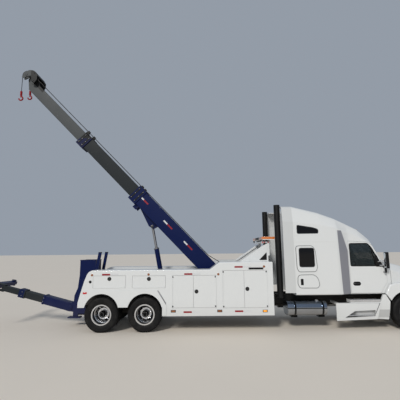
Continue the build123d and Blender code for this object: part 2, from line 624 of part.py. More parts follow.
def body_doors():
    """Every compartment door on both sides, by name."""
    doors = {}
    gap = DOOR_GAP
    for number, (x0, x1, seam, z0, z1) in enumerate(TALL_DOORS, 3):
        rear = tall_leaf(x0 + gap, seam - gap / 2, z0 + gap, z1 - gap, x0 + gap, 0)
        front = tall_leaf(seam + gap / 2, x1 - gap, z0 + gap, z1 - gap, x1 - gap, seam + 94)
        for side, place in (("left", 1), ("right", -1)):
            doors[f"leaf_{number}_rear_{side}"] = rear if place > 0 else mirror(rear, about=Plane.XZ)
            doors[f"leaf_{number}_front_{side}"] = front if place > 0 else mirror(front, about=Plane.XZ)
    for number, (x0, x1, z0, z1) in enumerate(DROP_DOORS, 1):
        leaf = drop_door(x0 + gap, x1 - gap, z0 + gap, z1 - gap)
        doors[f"drop_door_{number}_left"] = leaf
        doors[f"drop_door_{number}_right"] = mirror(leaf, about=Plane.XZ)
    return doors


def pylon():
    """The raked frame at the front of the body with its lamps and the light bar."""
    inner, outer = BODY_INNER + 10, BODY_INNER + 50
    plate = side_plate([(3654, RAISED_TOP), (4152, 2397), (4387, 2557), (4587, 2652), (4627, 2652), (4627, 2260),
                        (BODY_FRONT_X - 10, 2240), (BODY_FRONT_X - 10, RAISED_TOP)], inner, outer)
    plate -= side_plate([(4270, 2105), (4532, 2362), (4532, 2105)], inner - 1, outer + 1, radius=12)
    rib = side_plate([(3700, RAISED_TOP), (3760, RAISED_TOP), (4520, 2570), (4500, 2610)], inner - 40, inner + 1)
    top = block(4380, 4627, -outer, outer, 2652, 2700)
    bar = fillet(block(4370, 4780, -900, 900, 2752, 2850).edges().filter_by(Axis.Y), 35)
    shape = Part() + both_sides(plate) + both_sides(rib) + top + bar
    for post in both_sides(block(4440, 4560, 500, 560, 2699, 2753)):
        shape += post
    return shape


def boom_turret():
    """The side plates that carry the boom's pivot, and the two winches in front of it."""
    plate_in = BASE_HALF + 20
    plate = side_plate([(2250, DECK_TOP), (4350, DECK_TOP), (4300, 1420), (3500, 1500), (2930, 1860), (2600, 1860),
                        (2450, 1500)], plate_in, plate_in + 40)
    shape = Part() + both_sides(plate)
    shape += cross_bar(BOOM_PIVOT_X, BOOM_PIVOT_Z, -plate_in - 40, plate_in + 40, BOOM_PIN_R)
    shape += block(3250, 3400, -plate_in, plate_in, DECK_TOP, 1300)
    shape += cross_bar(3900, 1370, -plate_in, plate_in, 70)
    for y0, y1 in ((-310, -20), (20, 310)):
        shape += cross_bar(3900, 1370, y0, y0 + 20, 220)
        shape += cross_bar(3900, 1370, y1 - 20, y1, 220)
        shape += cross_bar(3900, 1370, y0, y1, 150)
    return shape


def box_tube(s0, s1, half, depth, wall, n=BOOM_AXIS_N):
    """A rectangular tube along local X with rounded corners, open at both ends."""
    outer = Pos((s0 + s1) / 2, 0, n) * Box(s1 - s0, 2 * half, depth)
    outer = fillet(outer.edges().filter_by(Axis.X), wall)
    inner = Pos((s0 + s1) / 2, 0, n) * Box(s1 - s0 + 2, 2 * (half - wall), depth - 2 * wall)
    return outer - inner


def solid_bar(s0, s1, half, n0, n1):
    """A solid box along local X."""
    return Pos((s0 + s1) / 2, 0, (n0 + n1) / 2) * Box(s1 - s0, 2 * half, n1 - n0)


def boom_base():
    """The boom's lowest stage with its heel, collar, lugs and the lift cylinder's gusset."""
    low, high = BOOM_AXIS_N - BASE_DEPTH / 2, BOOM_AXIS_N + BASE_DEPTH / 2
    shape = box_tube(-340, BASE_END, BASE_HALF, BASE_DEPTH, BASE_WALL)
    shape += solid_bar(-340, 120, BASE_HALF - BASE_WALL, low + BASE_WALL, high - BASE_WALL)
    collar = solid_bar(BASE_END - COLLAR_LENGTH, BASE_END, BASE_HALF + 28, low - 35, high + 12)
    collar -= solid_bar(BASE_END - 400, BASE_END + 1, BASE_HALF - BASE_WALL, low + BASE_WALL, high - BASE_WALL)
    shape += collar
    for lug in both_sides(Pos(3450, 200, (low - 400) / 2) * Box(150, 30, 400 + low + 20)):
        shape += lug
    gusset = side_plate([(2420, low + 5), (2470, -440), (2640, -480), (3330, low + 5)], 70, 100)
    for plate in both_sides(gusset):
        shape += plate
    shape -= cross_bar(0, 0, -400, 400, BOOM_PIN_R + RUNNING_GAP)
    return shape


def boom_mid():
    """The boom's second stage with its collar."""
    low, high = BOOM_AXIS_N - MID_DEPTH / 2, BOOM_AXIS_N + MID_DEPTH / 2
    shape = box_tube(MID_TAIL, MID_END, MID_HALF, MID_DEPTH, MID_WALL)
    collar = solid_bar(MID_END - COLLAR_LENGTH, MID_END, MID_HALF + 28, low - 60, high + 14)
    collar -= solid_bar(MID_END - 400, MID_END + 1, MID_HALF - MID_WALL, low + MID_WALL, high - MID_WALL)
    return shape + collar


def boom_tip():
    """The boom's last stage with its head: cheek plates, two sheaves and their pin."""
    shape = box_tube(TIP_TAIL, TIP_END, TIP_HALF, TIP_DEPTH, TIP_WALL)
    low, top = BOOM_AXIS_N - TIP_DEPTH / 2, BOOM_AXIS_N + TIP_DEPTH / 2
    nose = [(TIP_END - 200, low), (TIP_END - 30, low), (9790, 62), (9805, 105), (9700, 300), (9480, 300),
            (TIP_END - 200, top - 1)]
    claw = [(9440, 150), (9480, 62), (9560, 45), (9660, 185), (9745, 218), (9815, 118), (9862, -40), (9922, -45),
            (9978, 100), (9977, 243), (9930, 348), (9830, 425), (9740, 450), (9600, 415), (9470, 300)]
    hood_strip = [(9560, 402), (9600, 415), (9740, 450), (9830, 425), (9930, 348), (9977, 243), (9963, 238),
                  (9918, 338), (9824, 412), (9740, 436), (9604, 402), (9564, 390)]
    outside = CHEEK_Y + CHEEK_THICK
    for plate in both_sides(side_plate(nose, TIP_HALF - TIP_WALL, TIP_HALF)):
        shape += plate
    for plate in both_sides(side_plate(claw, CHEEK_Y, outside)):
        shape += plate
    for plate in both_sides(side_plate(claw, TIP_HALF - 1, TIP_HALF + CHEEK_THICK)):
        shape += plate
    shape += side_plate(hood_strip, -outside, outside)
    shape += cross_bar(SHEAVE_S, SHEAVE_N, -outside - 12, outside + 12, 28)
    shape += cross_bar(9540, 130, -outside - 8, outside + 8, 30)
    rim = SHEAVE_R
    groove = rim - 2 * ROPE_R
    half = 28
    profile = [(20, -half), (rim, -half), (rim, -half + 6), (groove, -ROPE_R), (groove, ROPE_R), (rim, half - 6),
               (rim, half), (20, half)]
    for y in (-ROPE_Y, ROPE_Y):
        shape += Pos(SHEAVE_S, 0, SHEAVE_N) * spun(profile, y)
    return shape


def hook(top_z, bottom_z):
    """A rope fall with its weight and its hook, on the left, hanging from top_z."""
    x = rope_fall_x()
    eye = bottom_z + 370
    shape = rod_between((x, ROPE_Y, eye - 20), (x, ROPE_Y, top_z), ROPE_R)
    shape += rod_between((x, ROPE_Y, eye - 160), (x, ROPE_Y, eye), 38)
    ring = Plane(origin=(x, ROPE_Y, bottom_z + 95), z_dir=(0, 1, 0)) * Torus(70, 24)
    ring -= block(x - 200, x - 20, 0, 2 * ROPE_Y, bottom_z + 95, bottom_z + 200)
    shape += ring
    shape += rod_between((x, ROPE_Y, eye - 150), (x + 60, ROPE_Y, bottom_z + 120), 20)
    return shape


def boom_point(s, n):
    """A point of the boom's side view in X, Z at rest."""
    spot = BOOM_FRAME.from_local_coords((s, 0, n))
    return spot.X, spot.Z


def rope_fall_x():
    """Where the ropes leave the sheaves, with room for the boom's full lift."""
    return boom_point(SHEAVE_S, SHEAVE_N)[0] - SHEAVE_R - 2.5 * ROPE_R


def lift_frame():
    """The lift cylinder's frame at rest: local X from the lower pin to the rod's eye."""
    eye_x, eye_z = boom_point(LIFT_EYE_S, LIFT_EYE_N)
    return tilted(LIFT_PIN_X, LIFT_PIN_Z, math.degrees(math.atan2(eye_z - LIFT_PIN_Z, LIFT_PIN_X - eye_x)))


def lift_length():
    """The distance between the lift cylinder's pins at rest."""
    eye_x, eye_z = boom_point(LIFT_EYE_S, LIFT_EYE_N)
    return math.hypot(eye_x - LIFT_PIN_X, eye_z - LIFT_PIN_Z)


def bar_along(s0, s1, radius):
    """A round bar along local X."""
    return rod_between((s0, 0, 0), (s1, 0, 0), radius)


def lift_barrel():
    """The lift cylinder's barrel with its lower eye."""
    shape = bar_along(130, 1060, BARREL_R) + cross_bar(0, 0, -60, 60, 75) + solid_bar(0, 135, 50, -60, 60)
    shape -= bar_along(150, 1061, SLEEVE_R + RUNNING_GAP)
    return shape - cross_bar(0, 0, -80, 80, LIFT_PIN_R + RUNNING_GAP)


def lift_sleeve():
    """The middle stage of the lift cylinder, part way out."""
    return bar_along(740, 1810, SLEEVE_R) - bar_along(760, 1811, ROD_R + RUNNING_GAP)


def lift_rod():
    """The lift cylinder's rod with its eye between the gusset's plates."""
    length = lift_length()
    shape = bar_along(1350, length - 20, ROD_R) + cross_bar(length, 0, -55, 55, 60)
    return shape - cross_bar(length, 0, -60, 60, LIFT_PIN_R)


def lift_mast():
    """The mast at the tail with the arm's clevis, the stabiliser feet and the boom's rest posts."""
    outline = [(-1170, 700), (-1170, 2145), (-1695, 2145), (-1695, 1650), (-1740, 1220), (-1840, 980), (-1850, 780),
               (-1800, 400), (-1460, 400), (-1460, 700)]
    shape = Part() + side_plate(outline, -300, 300)
    shape -= side_plate([(-1250, 1100), (-1250, 2200), (-1620, 2200), (-1620, 1100)], -240, 240)
    for ear in both_sides(side_plate([(-1790, 420), (-1790, 780), (-1900, 780), (-2090, 650), (-2090, 520),
                                      (-2000, 460)], ARM_HALF + 10, ARM_HALF + 50)):
        shape += ear
    shape += cross_bar(ARM_PIVOT_X, ARM_PIVOT_Z, -ARM_HALF - 60, ARM_HALF + 60, ARM_PIN_R)
    for leg in both_sides(block(-1860, -1700, 240, 300, 300, 700) + block(-2000, -1600, 180, 380, 270, 310)):
        shape += leg
    for rail_tie in both_sides(block(-1555, -1300, 299, RAIL_INNER + 1, RAIL_BOTTOM + 20, RAIL_TOP - 20)):
        shape += rail_tie
    posts = both_sides(side_plate([(-1190, 1600), (-1090, 1600), (-960, 2400), (-1060, 2400)], 350, 400)
                       + block(-1190, -1100, 290, 400, 1500, 1650))
    return shape + posts


def underlift_base():
    """The underlift's first stage, on its pivot."""
    shape = box_tube(110, ARM_END, ARM_HALF, ARM_DEPTH, ARM_WALL, 0)
    heel = side_plate([(-90, -90), (-90, 90), (0, ARM_DEPTH / 2), (130, ARM_DEPTH / 2), (130, -ARM_DEPTH / 2),
                       (0, -ARM_DEPTH / 2)], -ARM_HALF, ARM_HALF)
    return shape + heel - cross_bar(0, 0, -200, 200, ARM_PIN_R + RUNNING_GAP)


def underlift_stage():
    """The underlift's second stage with its collar."""
    shape = box_tube(STAGE_TAIL, STAGE_END, STAGE_HALF, STAGE_DEPTH, 16, 0)
    collar = solid_bar(STAGE_END - 220, STAGE_END, STAGE_HALF + 20, -STAGE_DEPTH / 2 - 20, STAGE_DEPTH / 2 + 20)
    collar -= solid_bar(STAGE_END - 230, STAGE_END + 1, STAGE_HALF - 16, -STAGE_DEPTH / 2 + 16, STAGE_DEPTH / 2 - 16)
    return shape + collar


def underlift_toe():
    """The underlift's last stage with the fork that holds the crossbar."""
    shape = solid_bar(TOE_TAIL, TOE_END, TOE_HALF, -TOE_DEPTH / 2, TOE_DEPTH / 2)
    for n in (-115, 90):
        shape += solid_bar(TOE_END - 80, SWIVEL_S, TOE_HALF, n, n + 25)
        shape += Pos(SWIVEL_S, 0, n + 12.5) * Cylinder(TOE_HALF, 25)
    shape += solid_bar(TOE_END - 80, TOE_END - 10, TOE_HALF, -115, 115)
    return shape + Pos(SWIVEL_S, 0, 0) * Cylinder(40, 230)


def crossbar():
    """The swivelling crossbar with upright receivers at its ends."""
    half, end = 85, 50
    plan = [(-90, -CROSSBAR_HALF), (90, -CROSSBAR_HALF), (95, 0), (90, CROSSBAR_HALF), (-90, CROSSBAR_HALF), (-95, 0)]
    face = make_face(Polyline(*[(SWIVEL_S + s, y, -half) for s, y in plan], close=True))
    front = make_face(Polyline((SWIVEL_S - 200, -CROSSBAR_HALF, -end), (SWIVEL_S - 200, 0, -half),
                               (SWIVEL_S - 200, CROSSBAR_HALF, -end), (SWIVEL_S - 200, CROSSBAR_HALF, end),
                               (SWIVEL_S - 200, 0, half), (SWIVEL_S - 200, -CROSSBAR_HALF, end), close=True))
    shape = extrude(face, amount=2 * half, dir=(0, 0, 1)) & extrude(front, amount=400, dir=(1, 0, 0))
    shape -= Pos(SWIVEL_S, 0, 0) * Cylinder(40 + RUNNING_GAP, 400)
    for y in (-CROSSBAR_HALF + 80, CROSSBAR_HALF - 80):
        shape += Pos(SWIVEL_S, y, 0) * Cylinder(75, 200)
        shape -= Pos(SWIVEL_S, y, 0) * Cylinder(38, 300)
    return shape


def all_pieces():
    """Every node's shape by name, with X = 0 midway between the rear axles."""
    pieces = {"chassis_frame": chassis_frame(), "front_axle": front_axle(), "rear_axles": rear_axles()}
    steer = knuckle()
    pieces["knuckle_left"] = steer
    pieces["knuckle_right"] = mirror(steer, about=Plane.XZ)
    duals = Compound(children=[Compound(tyre(y).solids()) for y in (OUTER_TYRE_Y, INNER_TYRE_Y)])
    pairs = [("front", FRONT_AXLE_X, tyre(FRONT_TYRE_Y), front_wheel()), ("drive_1", REAR_AXLE_X, duals, rear_wheel()),
             ("drive_2", -REAR_AXLE_X, duals, rear_wheel())]
    for name, x, rubber, metal in pairs:
        for side, place in (("left", 1), ("right", -1)):
            pieces[f"tyre_{name}_{side}"] = on_axle(rubber, x, place)
            pieces[f"wheel_{name}_{side}"] = on_axle(metal, x, place)
    shell, door, glass = cab_pieces()
    pieces["cab_shell"] = shell
    pieces["cab_door_left"] = door
    pieces["cab_door_right"] = mirror(door, about=Plane.XZ)
    pieces["cab_glass"] = glass
    pieces["cab_interior"] = cab_interior()
    pieces["side_extenders"] = side_extenders()
    pieces["hood"] = hood()
    pieces["front_trim"] = front_trim()
    pieces["bumper"] = bumper()
    pieces["step_fairings"] = step_fairings()
    pieces["fuel_tanks"] = fuel_tanks()
    pieces["exhaust_stacks"] = exhaust_stacks()
    pieces["engine"] = engine()
    glass_head = mirror_head()
    pieces["mirror_left"] = glass_head
    pieces["mirror_right"] = mirror(glass_head, about=Plane.XZ)
    pieces["wrecker_body"] = wrecker_body()
    pieces.update(body_doors())
    pieces["pylon"] = pylon()
    pieces["boom_turret"] = boom_turret()
    for name, shape in (("boom_base", boom_base()), ("boom_mid", boom_mid()), ("boom_tip", boom_tip())):
        pieces[name] = BOOM_FRAME * shape
    fall_top = boom_point(SHEAVE_S, SHEAVE_N)[1]
    pieces["hook_left"] = hook(fall_top, 8230)
    pieces["hook_right"] = mirror(hook(fall_top, 7910), about=Plane.XZ)
    for name, shape in (("lift_barrel", lift_barrel()), ("lift_sleeve", lift_sleeve()), ("lift_rod", lift_rod())):
        pieces[name] = lift_frame() * shape
    pieces["lift_mast"] = lift_mast()
    for name, shape in (("underlift_base", underlift_base()), ("underlift_stage", underlift_stage()),
                        ("underlift_toe", underlift_toe()), ("crossbar", crossbar())):
        pieces[name] = ARM_FRAME * shape
    return pieces


def box_centre(pieces):
    """The middle of the whole model along X."""
    boxes = [shape.bounding_box() for shape in pieces.values()]
    return (min(box.min.X for box in boxes) + max(box.max.X for box in boxes)) / 2


def main():
    """Centre every piece on the whole model's box and write it."""
    os.makedirs("parts", exist_ok=True)
    pieces = all_pieces()
    middle = box_centre(pieces)
    for name, shape in pieces.items():
        export_step(Pos(-middle, 0, 0) * Compound(shape.solids()), f"parts/{name}.step")


if __name__ == "__main__":
    main()
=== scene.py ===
"""The looks of a heavy recovery truck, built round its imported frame."""

import json
import math

import bpy
from mathutils import Matrix, Vector


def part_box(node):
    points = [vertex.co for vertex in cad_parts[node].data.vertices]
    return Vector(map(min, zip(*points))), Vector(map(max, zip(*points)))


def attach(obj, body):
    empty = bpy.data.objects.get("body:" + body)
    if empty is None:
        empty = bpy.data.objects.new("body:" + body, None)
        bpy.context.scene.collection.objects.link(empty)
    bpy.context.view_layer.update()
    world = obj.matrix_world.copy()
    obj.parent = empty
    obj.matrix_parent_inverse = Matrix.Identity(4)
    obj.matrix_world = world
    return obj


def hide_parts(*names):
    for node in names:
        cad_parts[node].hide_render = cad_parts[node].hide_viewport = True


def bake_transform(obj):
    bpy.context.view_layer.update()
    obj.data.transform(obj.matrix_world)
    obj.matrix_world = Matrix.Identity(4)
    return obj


bl_info = {
    "name": "Heavy Recovery Truck Looks",
    "version": (1, 0, 0),
    "blender": (4, 5, 0),
    "location": "View3D > Sidebar > Recovery Truck",
    "description": "Builds the visible pieces, the finishes and the stage of a heavy recovery truck",
    "category": "Object",
}

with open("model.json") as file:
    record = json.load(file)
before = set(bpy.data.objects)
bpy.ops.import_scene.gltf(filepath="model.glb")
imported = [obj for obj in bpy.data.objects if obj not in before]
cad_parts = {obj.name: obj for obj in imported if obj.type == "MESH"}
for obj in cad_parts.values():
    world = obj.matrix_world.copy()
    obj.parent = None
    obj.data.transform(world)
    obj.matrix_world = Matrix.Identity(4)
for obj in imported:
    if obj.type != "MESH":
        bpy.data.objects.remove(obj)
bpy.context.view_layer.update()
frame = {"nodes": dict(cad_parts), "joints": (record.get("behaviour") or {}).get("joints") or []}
JOINTS = {joint["name"]: joint for joint in frame["joints"]}
SIDES = {"left": 1, "right": -1}


def joint_place(name):
    """Where a joint sits at rest."""
    return Vector(JOINTS[name]["pos_m"])


DRIVE_SPINS = [joint_place(f"drive_wheels_{k}_left_spin") for k in (1, 2)]
TANDEM_X = (DRIVE_SPINS[0].x + DRIVE_SPINS[1].x) / 2


def at(x, y, z):
    """A point measured from midway between the rear axles, on the ground."""
    return Vector((TANDEM_X + x, y, z))


def frame_along(origin, direction):
    """A matrix whose local X runs along direction and whose local Z is across it, upwards."""
    along = Vector(direction).normalized()
    across = Vector((along.z, 0, -along.x))
    sideways = across.cross(along)
    turn = Matrix((along, sideways, across)).transposed().to_4x4()
    return Matrix.Translation(origin) @ turn


BOOM = frame_along(joint_place("boom_lift"), JOINTS["boom_extend_1"]["axis"])
ARM = frame_along(joint_place("underlift_tilt"), JOINTS["underlift_extend_1"]["axis"])
CYLINDER = frame_along(joint_place("lift_cylinder_tilt"), JOINTS["lift_sleeve_slide"]["axis"])


# Sizes and places that several pieces share, in metres. An X is measured from midway between the rear axles.
# A collar is given by its start and end along the boom and by its top's height above the boom's line.
PROUD_PARTS = 0.012
BODY_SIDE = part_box("wrecker_body")[1][1] - PROUD_PARTS
LAMP_DEPTH = 0.0118
SLEEPER_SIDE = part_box("cab_shell")[1][1]
CAB_SIDE = 1.05
TYRE_RADIUS = 0.517
RIM_RADIUS = 0.284
DUAL_STEP = 0.335
SIDEWALL = [(RIM_RADIUS, 0.106), (0.300, 0.107), (0.309, 0.111), (0.320, 0.119), (0.345, 0.129),
            (0.375, 0.1360), (0.400, 0.1380), (0.430, 0.1375), (0.448, 0.1355), (0.451, 0.1370),
            (0.458, 0.1370), (0.461, 0.1345), (0.480, 0.1300), (0.495, 0.1235), (0.505, 0.1130)]
BASE_COLLAR = (3.52, 3.85, 0.2925)
MID_COLLAR = (6.35, 6.68, 0.247)
SHEAVE = (9.89, 0.149)
ROPE_SIDE = 0.29
ROPE_HEIGHT = 0.304
HOOK_HEIGHT = 0.37
TANK_STRAPS = (5.27, 6.12)
LATCHED_DOORS = ("drop_door_1", "drop_door_2", "leaf_3_front", "leaf_4_front")
TRUCK = ("truck", "truck")
# The radius at which a spun profile meets its axis
AXIS = 0.0001


class TruckSizes(bpy.types.PropertyGroup):
    """Sizes that a user would change."""
    rope_radius: bpy.props.FloatProperty(
        name="Rope radius", description="Radius of the wire ropes", default=0.011, unit="LENGTH")
    tread_depth: bpy.props.FloatProperty(
        name="Tread depth", description="Depth of the grooves in the tyres", default=0.012, unit="LENGTH")
    latch_radius: bpy.props.FloatProperty(
        name="Latch radius", description="Radius of the compartment latches", default=0.058, unit="LENGTH")
    lamp_radius: bpy.props.FloatProperty(
        name="Lamp radius", description="Radius of the round marker lamps", default=0.032, unit="LENGTH")
    tape_length: bpy.props.FloatProperty(
        name="Tape length", description="Length of one red reflecting tape", default=0.25, unit="LENGTH")
    tape_height: bpy.props.FloatProperty(
        name="Tape height", description="Height of the reflecting tapes", default=0.05, unit="LENGTH")
    seam_radius: bpy.props.FloatProperty(
        name="Seam radius", description="Radius of the rubber beads round windows and doors", default=0.009,
        unit="LENGTH")


class TruckColours(bpy.types.PropertyGroup):
    """Colours that a user would change."""
    body_white: bpy.props.FloatVectorProperty(
        name="Body white", description="Paint of the cab and the body",
        default=(0.70, 0.715, 0.715, 1), size=4, subtype="COLOR")
    boom_navy: bpy.props.FloatVectorProperty(
        name="Boom navy", description="Paint of the boom's base, the mast, the underlift's base and crossbar",
        default=(0.001, 0.007, 0.055, 1), size=4, subtype="COLOR")
    stage_grey: bpy.props.FloatVectorProperty(
        name="Stage grey", description="Paint of the boom's last stage",
        default=(0.062, 0.068, 0.071, 1), size=4, subtype="COLOR")
    stage_dark: bpy.props.FloatVectorProperty(
        name="Stage dark", description="Paint of the boom's middle stage and the underlift's stages",
        default=(0.017, 0.021, 0.024, 1), size=4, subtype="COLOR")
    hook_red: bpy.props.FloatVectorProperty(
        name="Hook red", description="Paint of the hooks",
        default=(0.24, 0.006, 0.010, 1), size=4, subtype="COLOR")
    floor_pale: bpy.props.FloatVectorProperty(
        name="Floor", description="Colour of the floor",
        default=(0.80, 0.73, 0.64, 1), size=4, subtype="COLOR")


class Wire:
    """One shader socket. Arithmetic on it adds Math nodes."""

    def __init__(self, finish, socket):
        self.finish = finish
        self.socket = socket

    def maths(self, operation, *others, clamp=False):
        """One Math node that starts from this value."""
        settings = {"operation": operation, "use_clamp": clamp}
        return self.finish.node("ShaderNodeMath", settings, dict(enumerate((self, *others))))

    def __add__(self, other):
        return self.maths("ADD", other)

    def __radd__(self, other):
        return self.maths("ADD", other)

    def __sub__(self, other):
        return self.maths("SUBTRACT", other)

    def __rsub__(self, other):
        return self.maths("MULTIPLY", -1.0) + other

    def __mul__(self, other):
        return self.maths("MULTIPLY", other)

    def __rmul__(self, other):
        return self.maths("MULTIPLY", other)

    def held(self):
        """The value kept between 0 and 1."""
        return self.maths("ADD", 0.0, clamp=True)

    def ramp(self, low, high):
        """0 below low, 1 above high and smooth between them."""
        settings = {"interpolation_type": "SMOOTHSTEP"}
        sockets = {"Value": self, "From Min": low, "From Max": high}
        return self.finish.node("ShaderNodeMapRange", settings, sockets)


class Finish:
    """A material while its nodes are being laid."""

    def __init__(self, name):
        self.material = bpy.data.materials.new(name)
        self.material.use_nodes = True
        self.tree = self.material.node_tree
        self.tree.nodes.clear()
        self.place = self.node("ShaderNodeTexCoord", output="Object")

    def node(self, kind, settings=None, sockets=None, output=0):
        """Adds one node: its settings first, then the values or links of its sockets."""
        made = self.tree.nodes.new(kind)
        for key, value in (settings or {}).items():
            setattr(made, key, value)
        for key, value in (sockets or {}).items():
            if isinstance(value, Wire):
                self.tree.links.new(value.socket, made.inputs[key])
            else:
                made.inputs[key].default_value = value
        return Wire(self, made.outputs[output])

    def axis(self, letter):
        """One coordinate of the piece, in metres."""
        return self.node("ShaderNodeSeparateXYZ", {}, {0: self.place}, letter)

    def along(self, matrix):
        """How far a point lies along a raised piece, and how far across it."""
        x, z = self.axis("X"), self.axis("Z")
        origin, step, rise = matrix.translation, matrix.col[0], matrix.col[2]
        return tuple((x - origin.x) * way.x + (z - origin.z) * way.z for way in (step, rise))

    def patched(self, base, patches):
        """A colour with patches laid over it; patches gives each mask and its colour."""
        for mask, colour in patches(self) if patches else ():
            base = self.mix(mask, base, colour)
        return base

    def noise(self, scale, detail=3.0, stretch=(1, 1, 1)):
        """Soft noise in metres, stretched along the axes."""
        place = self.node("ShaderNodeMapping", {}, {"Vector": self.place, "Scale": stretch}, "Vector")
        return self.node("ShaderNodeTexNoise", {}, {"Vector": place, "Scale": scale, "Detail": detail}, "Fac")

    def mix(self, share, first, second):
        return self.node("ShaderNodeMix", {"data_type": "RGBA"}, {0: share, 6: first, 7: second}, 2)

    def bump(self, height, strength, distance=0.01):
        sockets = {"Strength": strength, "Distance": distance, "Height": height}
        return self.node("ShaderNodeBump", {}, sockets, "Normal")

    def surface(self, **sockets):
        """Closes the material with one Principled shader."""
        shader = self.node("ShaderNodeBsdfPrincipled", {}, sockets, "BSDF")
        self.close(shader)
        return self.material

    def close(self, shader):
        end = self.tree.nodes.new("ShaderNodeOutputMaterial")
        self.tree.links.new(shader.socket, end.inputs["Surface"])


DUST = (0.23, 0.20, 0.16, 1)
BARE_STEEL = (0.22, 0.22, 0.22, 1)
GUNMETAL = (0.012, 0.013, 0.014, 1)
# Grey painted on the band between the sleeper and the doors
SLEEPER_BAND_GREY = (0.235, 0.24, 0.27, 1)
BOOM_COLLAR_NAVY = (0.003, 0.006, 0.045, 1)
ARM_COLLAR_NAVY = (0.002, 0.008, 0.050, 1)
STEP_SHADE = (0.09, 0.09, 0.095, 1)
# The blue of a painted sky reflection on the tanks' upper half
SKY_REFLECTION_BLUE = (0.10, 0.17, 0.28, 1)
# The grey of a painted dark reflection in the wheels' dishes
DISH_REFLECTION_GREY = (0.20, 0.20, 0.21, 1)


def tinted(colour, share, lift=0.0):
    """A colour made lighter or darker."""
    return tuple(min(1, c * share + lift) for c in colour[:3]) + (1,)


def cab_patches(finish):
    """Grey painted over the band between the sleeper and the doors, with a leaning edge on either side."""
    rear_foot, rear_lean = 6.787, 0.0358
    front_foot, bend_height, front_lean = 7.04, 2.4, 0.327
    top = 3.024
    x, z = finish.axis("X") - TANDEM_X, finish.axis("Z")
    rear = x + z * rear_lean - rear_foot
    front = front_foot - (z - bend_height).maths("MAXIMUM", 0.0) * front_lean - x
    high = (top - z).ramp(0.0, 0.006)
    return [(rear.ramp(0.0, 0.008) * front.ramp(0.0, 0.008) * high, SLEEPER_BAND_GREY)]


def mid_patches(finish):
    """The middle stage's collar: navy below and black above a slanting line."""
    collar_start, slant, slant_foot = 6.335, 0.9, 5.93
    s, n = finish.along(BOOM)
    collar = s.ramp(collar_start, collar_start + 0.01)
    return [(collar, BOOM_COLLAR_NAVY), (collar * (n + s * slant - slant_foot).ramp(0.0, 0.03), GUNMETAL)]


def tip_patches(finish):
    """Black painted over the upper part of the last stage's head, above a line along the boom."""
    start, low, rear = 9.02, 0.09, -3.86
    s, n = finish.along(BOOM)
    x = finish.axis("X") - TANDEM_X
    return [(s.ramp(start, start + 0.02) * (n - low).ramp(0.0, 0.02) * (x - rear).ramp(0.0, 0.02), GUNMETAL)]


def hook_patches(finish):
    """The wire rope above each hook, which hang at two heights."""
    y, z = finish.axis("Y"), finish.axis("Z")
    patches = []
    for side, sign in SIDES.items():
        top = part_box(f"hook_{side}")[0][2] + HOOK_HEIGHT
        patches.append(((y * sign).ramp(-0.01, 0.01) * z.ramp(top, top + 0.005), GUNMETAL))
    return patches


def latch_place(door):
    """The middle of a door's latch, X and Z, from the box of the right-hand door."""
    low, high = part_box(f"{door}_right")
    if door.startswith("drop"):
        return (low[0] + high[0]) / 2, high[2] - 0.090
    return low[0] + 0.091, (low[2] + high[2]) / 2


def door_patches(finish):
    """The latches, which stand proud of the doors."""
    reach_squared = 0.0023
    proud = (finish.axis("Y").maths("ABSOLUTE") - BODY_SIDE).ramp(0.0008, 0.0012)
    x, z = finish.axis("X"), finish.axis("Z")
    patches = []
    for door in LATCHED_DOORS:
        middle_x, middle_z = latch_place(door)
        across, up = x - middle_x, z - middle_z
        near = (reach_squared - (across * across + up * up)).ramp(0.0, 0.0001)
        patches.append((proud * near, GUNMETAL))
    return patches


def arm_patches(finish):
    """The navy collar of the underlift's second stage."""
    collar_start = 1.67
    return [(finish.along(ARM)[0].ramp(collar_start, collar_start + 0.01), ARM_COLLAR_NAVY)]


def fairing_patches(finish):
    """The shade in the lower step's recess, deeper towards the rear."""
    half_width, low, high, front = 1.185, 0.36, 0.605, 7.20
    x, y, z = (finish.axis(letter) for letter in "XYZ")
    inside = (half_width - y.maths("ABSOLUTE")).ramp(0.0, 0.01) * z.ramp(low, low + 0.02)
    inside = inside * (high - z).ramp(0.0, 0.01)
    return [(inside * (0.35 + (TANDEM_X + front - x).ramp(0.0, 0.12) * 0.5), STEP_SHADE)]


def tank_patches(finish):
    """A painted reflection of the sky in the tanks' upper half, and their dark seam, straps and feet."""
    middle, foot_top, strap_half, seam_half = 0.652, 0.452, 0.024, 0.010
    x, z = finish.axis("X") - TANDEM_X, finish.axis("Z")
    away = [(x - place).maths("ABSOLUTE") for place in TANK_STRAPS]
    strap = sum(1 - distance.ramp(strap_half, strap_half + 0.004) for distance in away).held()
    seam = 1 - (z - middle).maths("ABSOLUTE").ramp(seam_half, seam_half + 0.004)
    foot = 1 - z.ramp(foot_top, foot_top + 0.006)
    return [(z.ramp(0.64, 0.70) * 0.55, SKY_REFLECTION_BLUE), (seam, GUNMETAL), (strap, GUNMETAL), (foot, GUNMETAL)]


def wheel_patches(finish):
    """A painted dark reflection in each wheel's dish, and each wheel's black hub."""
    dish_inner, dish_outer, hub = 0.170, 0.262, 0.108
    x, z = finish.axis("X"), finish.axis("Z")
    away = None
    for spin in (joint_place("front_wheel_left_spin"), *DRIVE_SPINS):
        across, up = x - spin.x, z - spin.z
        square = across * across + up * up
        away = square if away is None else away.maths("MINIMUM", square)
    reach = away.maths("SQRT")
    dish = reach.ramp(dish_inner, dish_inner + 0.015) * (dish_outer - reach).ramp(0.0, 0.012)
    return [(dish * 0.72, DISH_REFLECTION_GREY), (1 - reach.ramp(hub, hub + 0.004), GUNMETAL)]


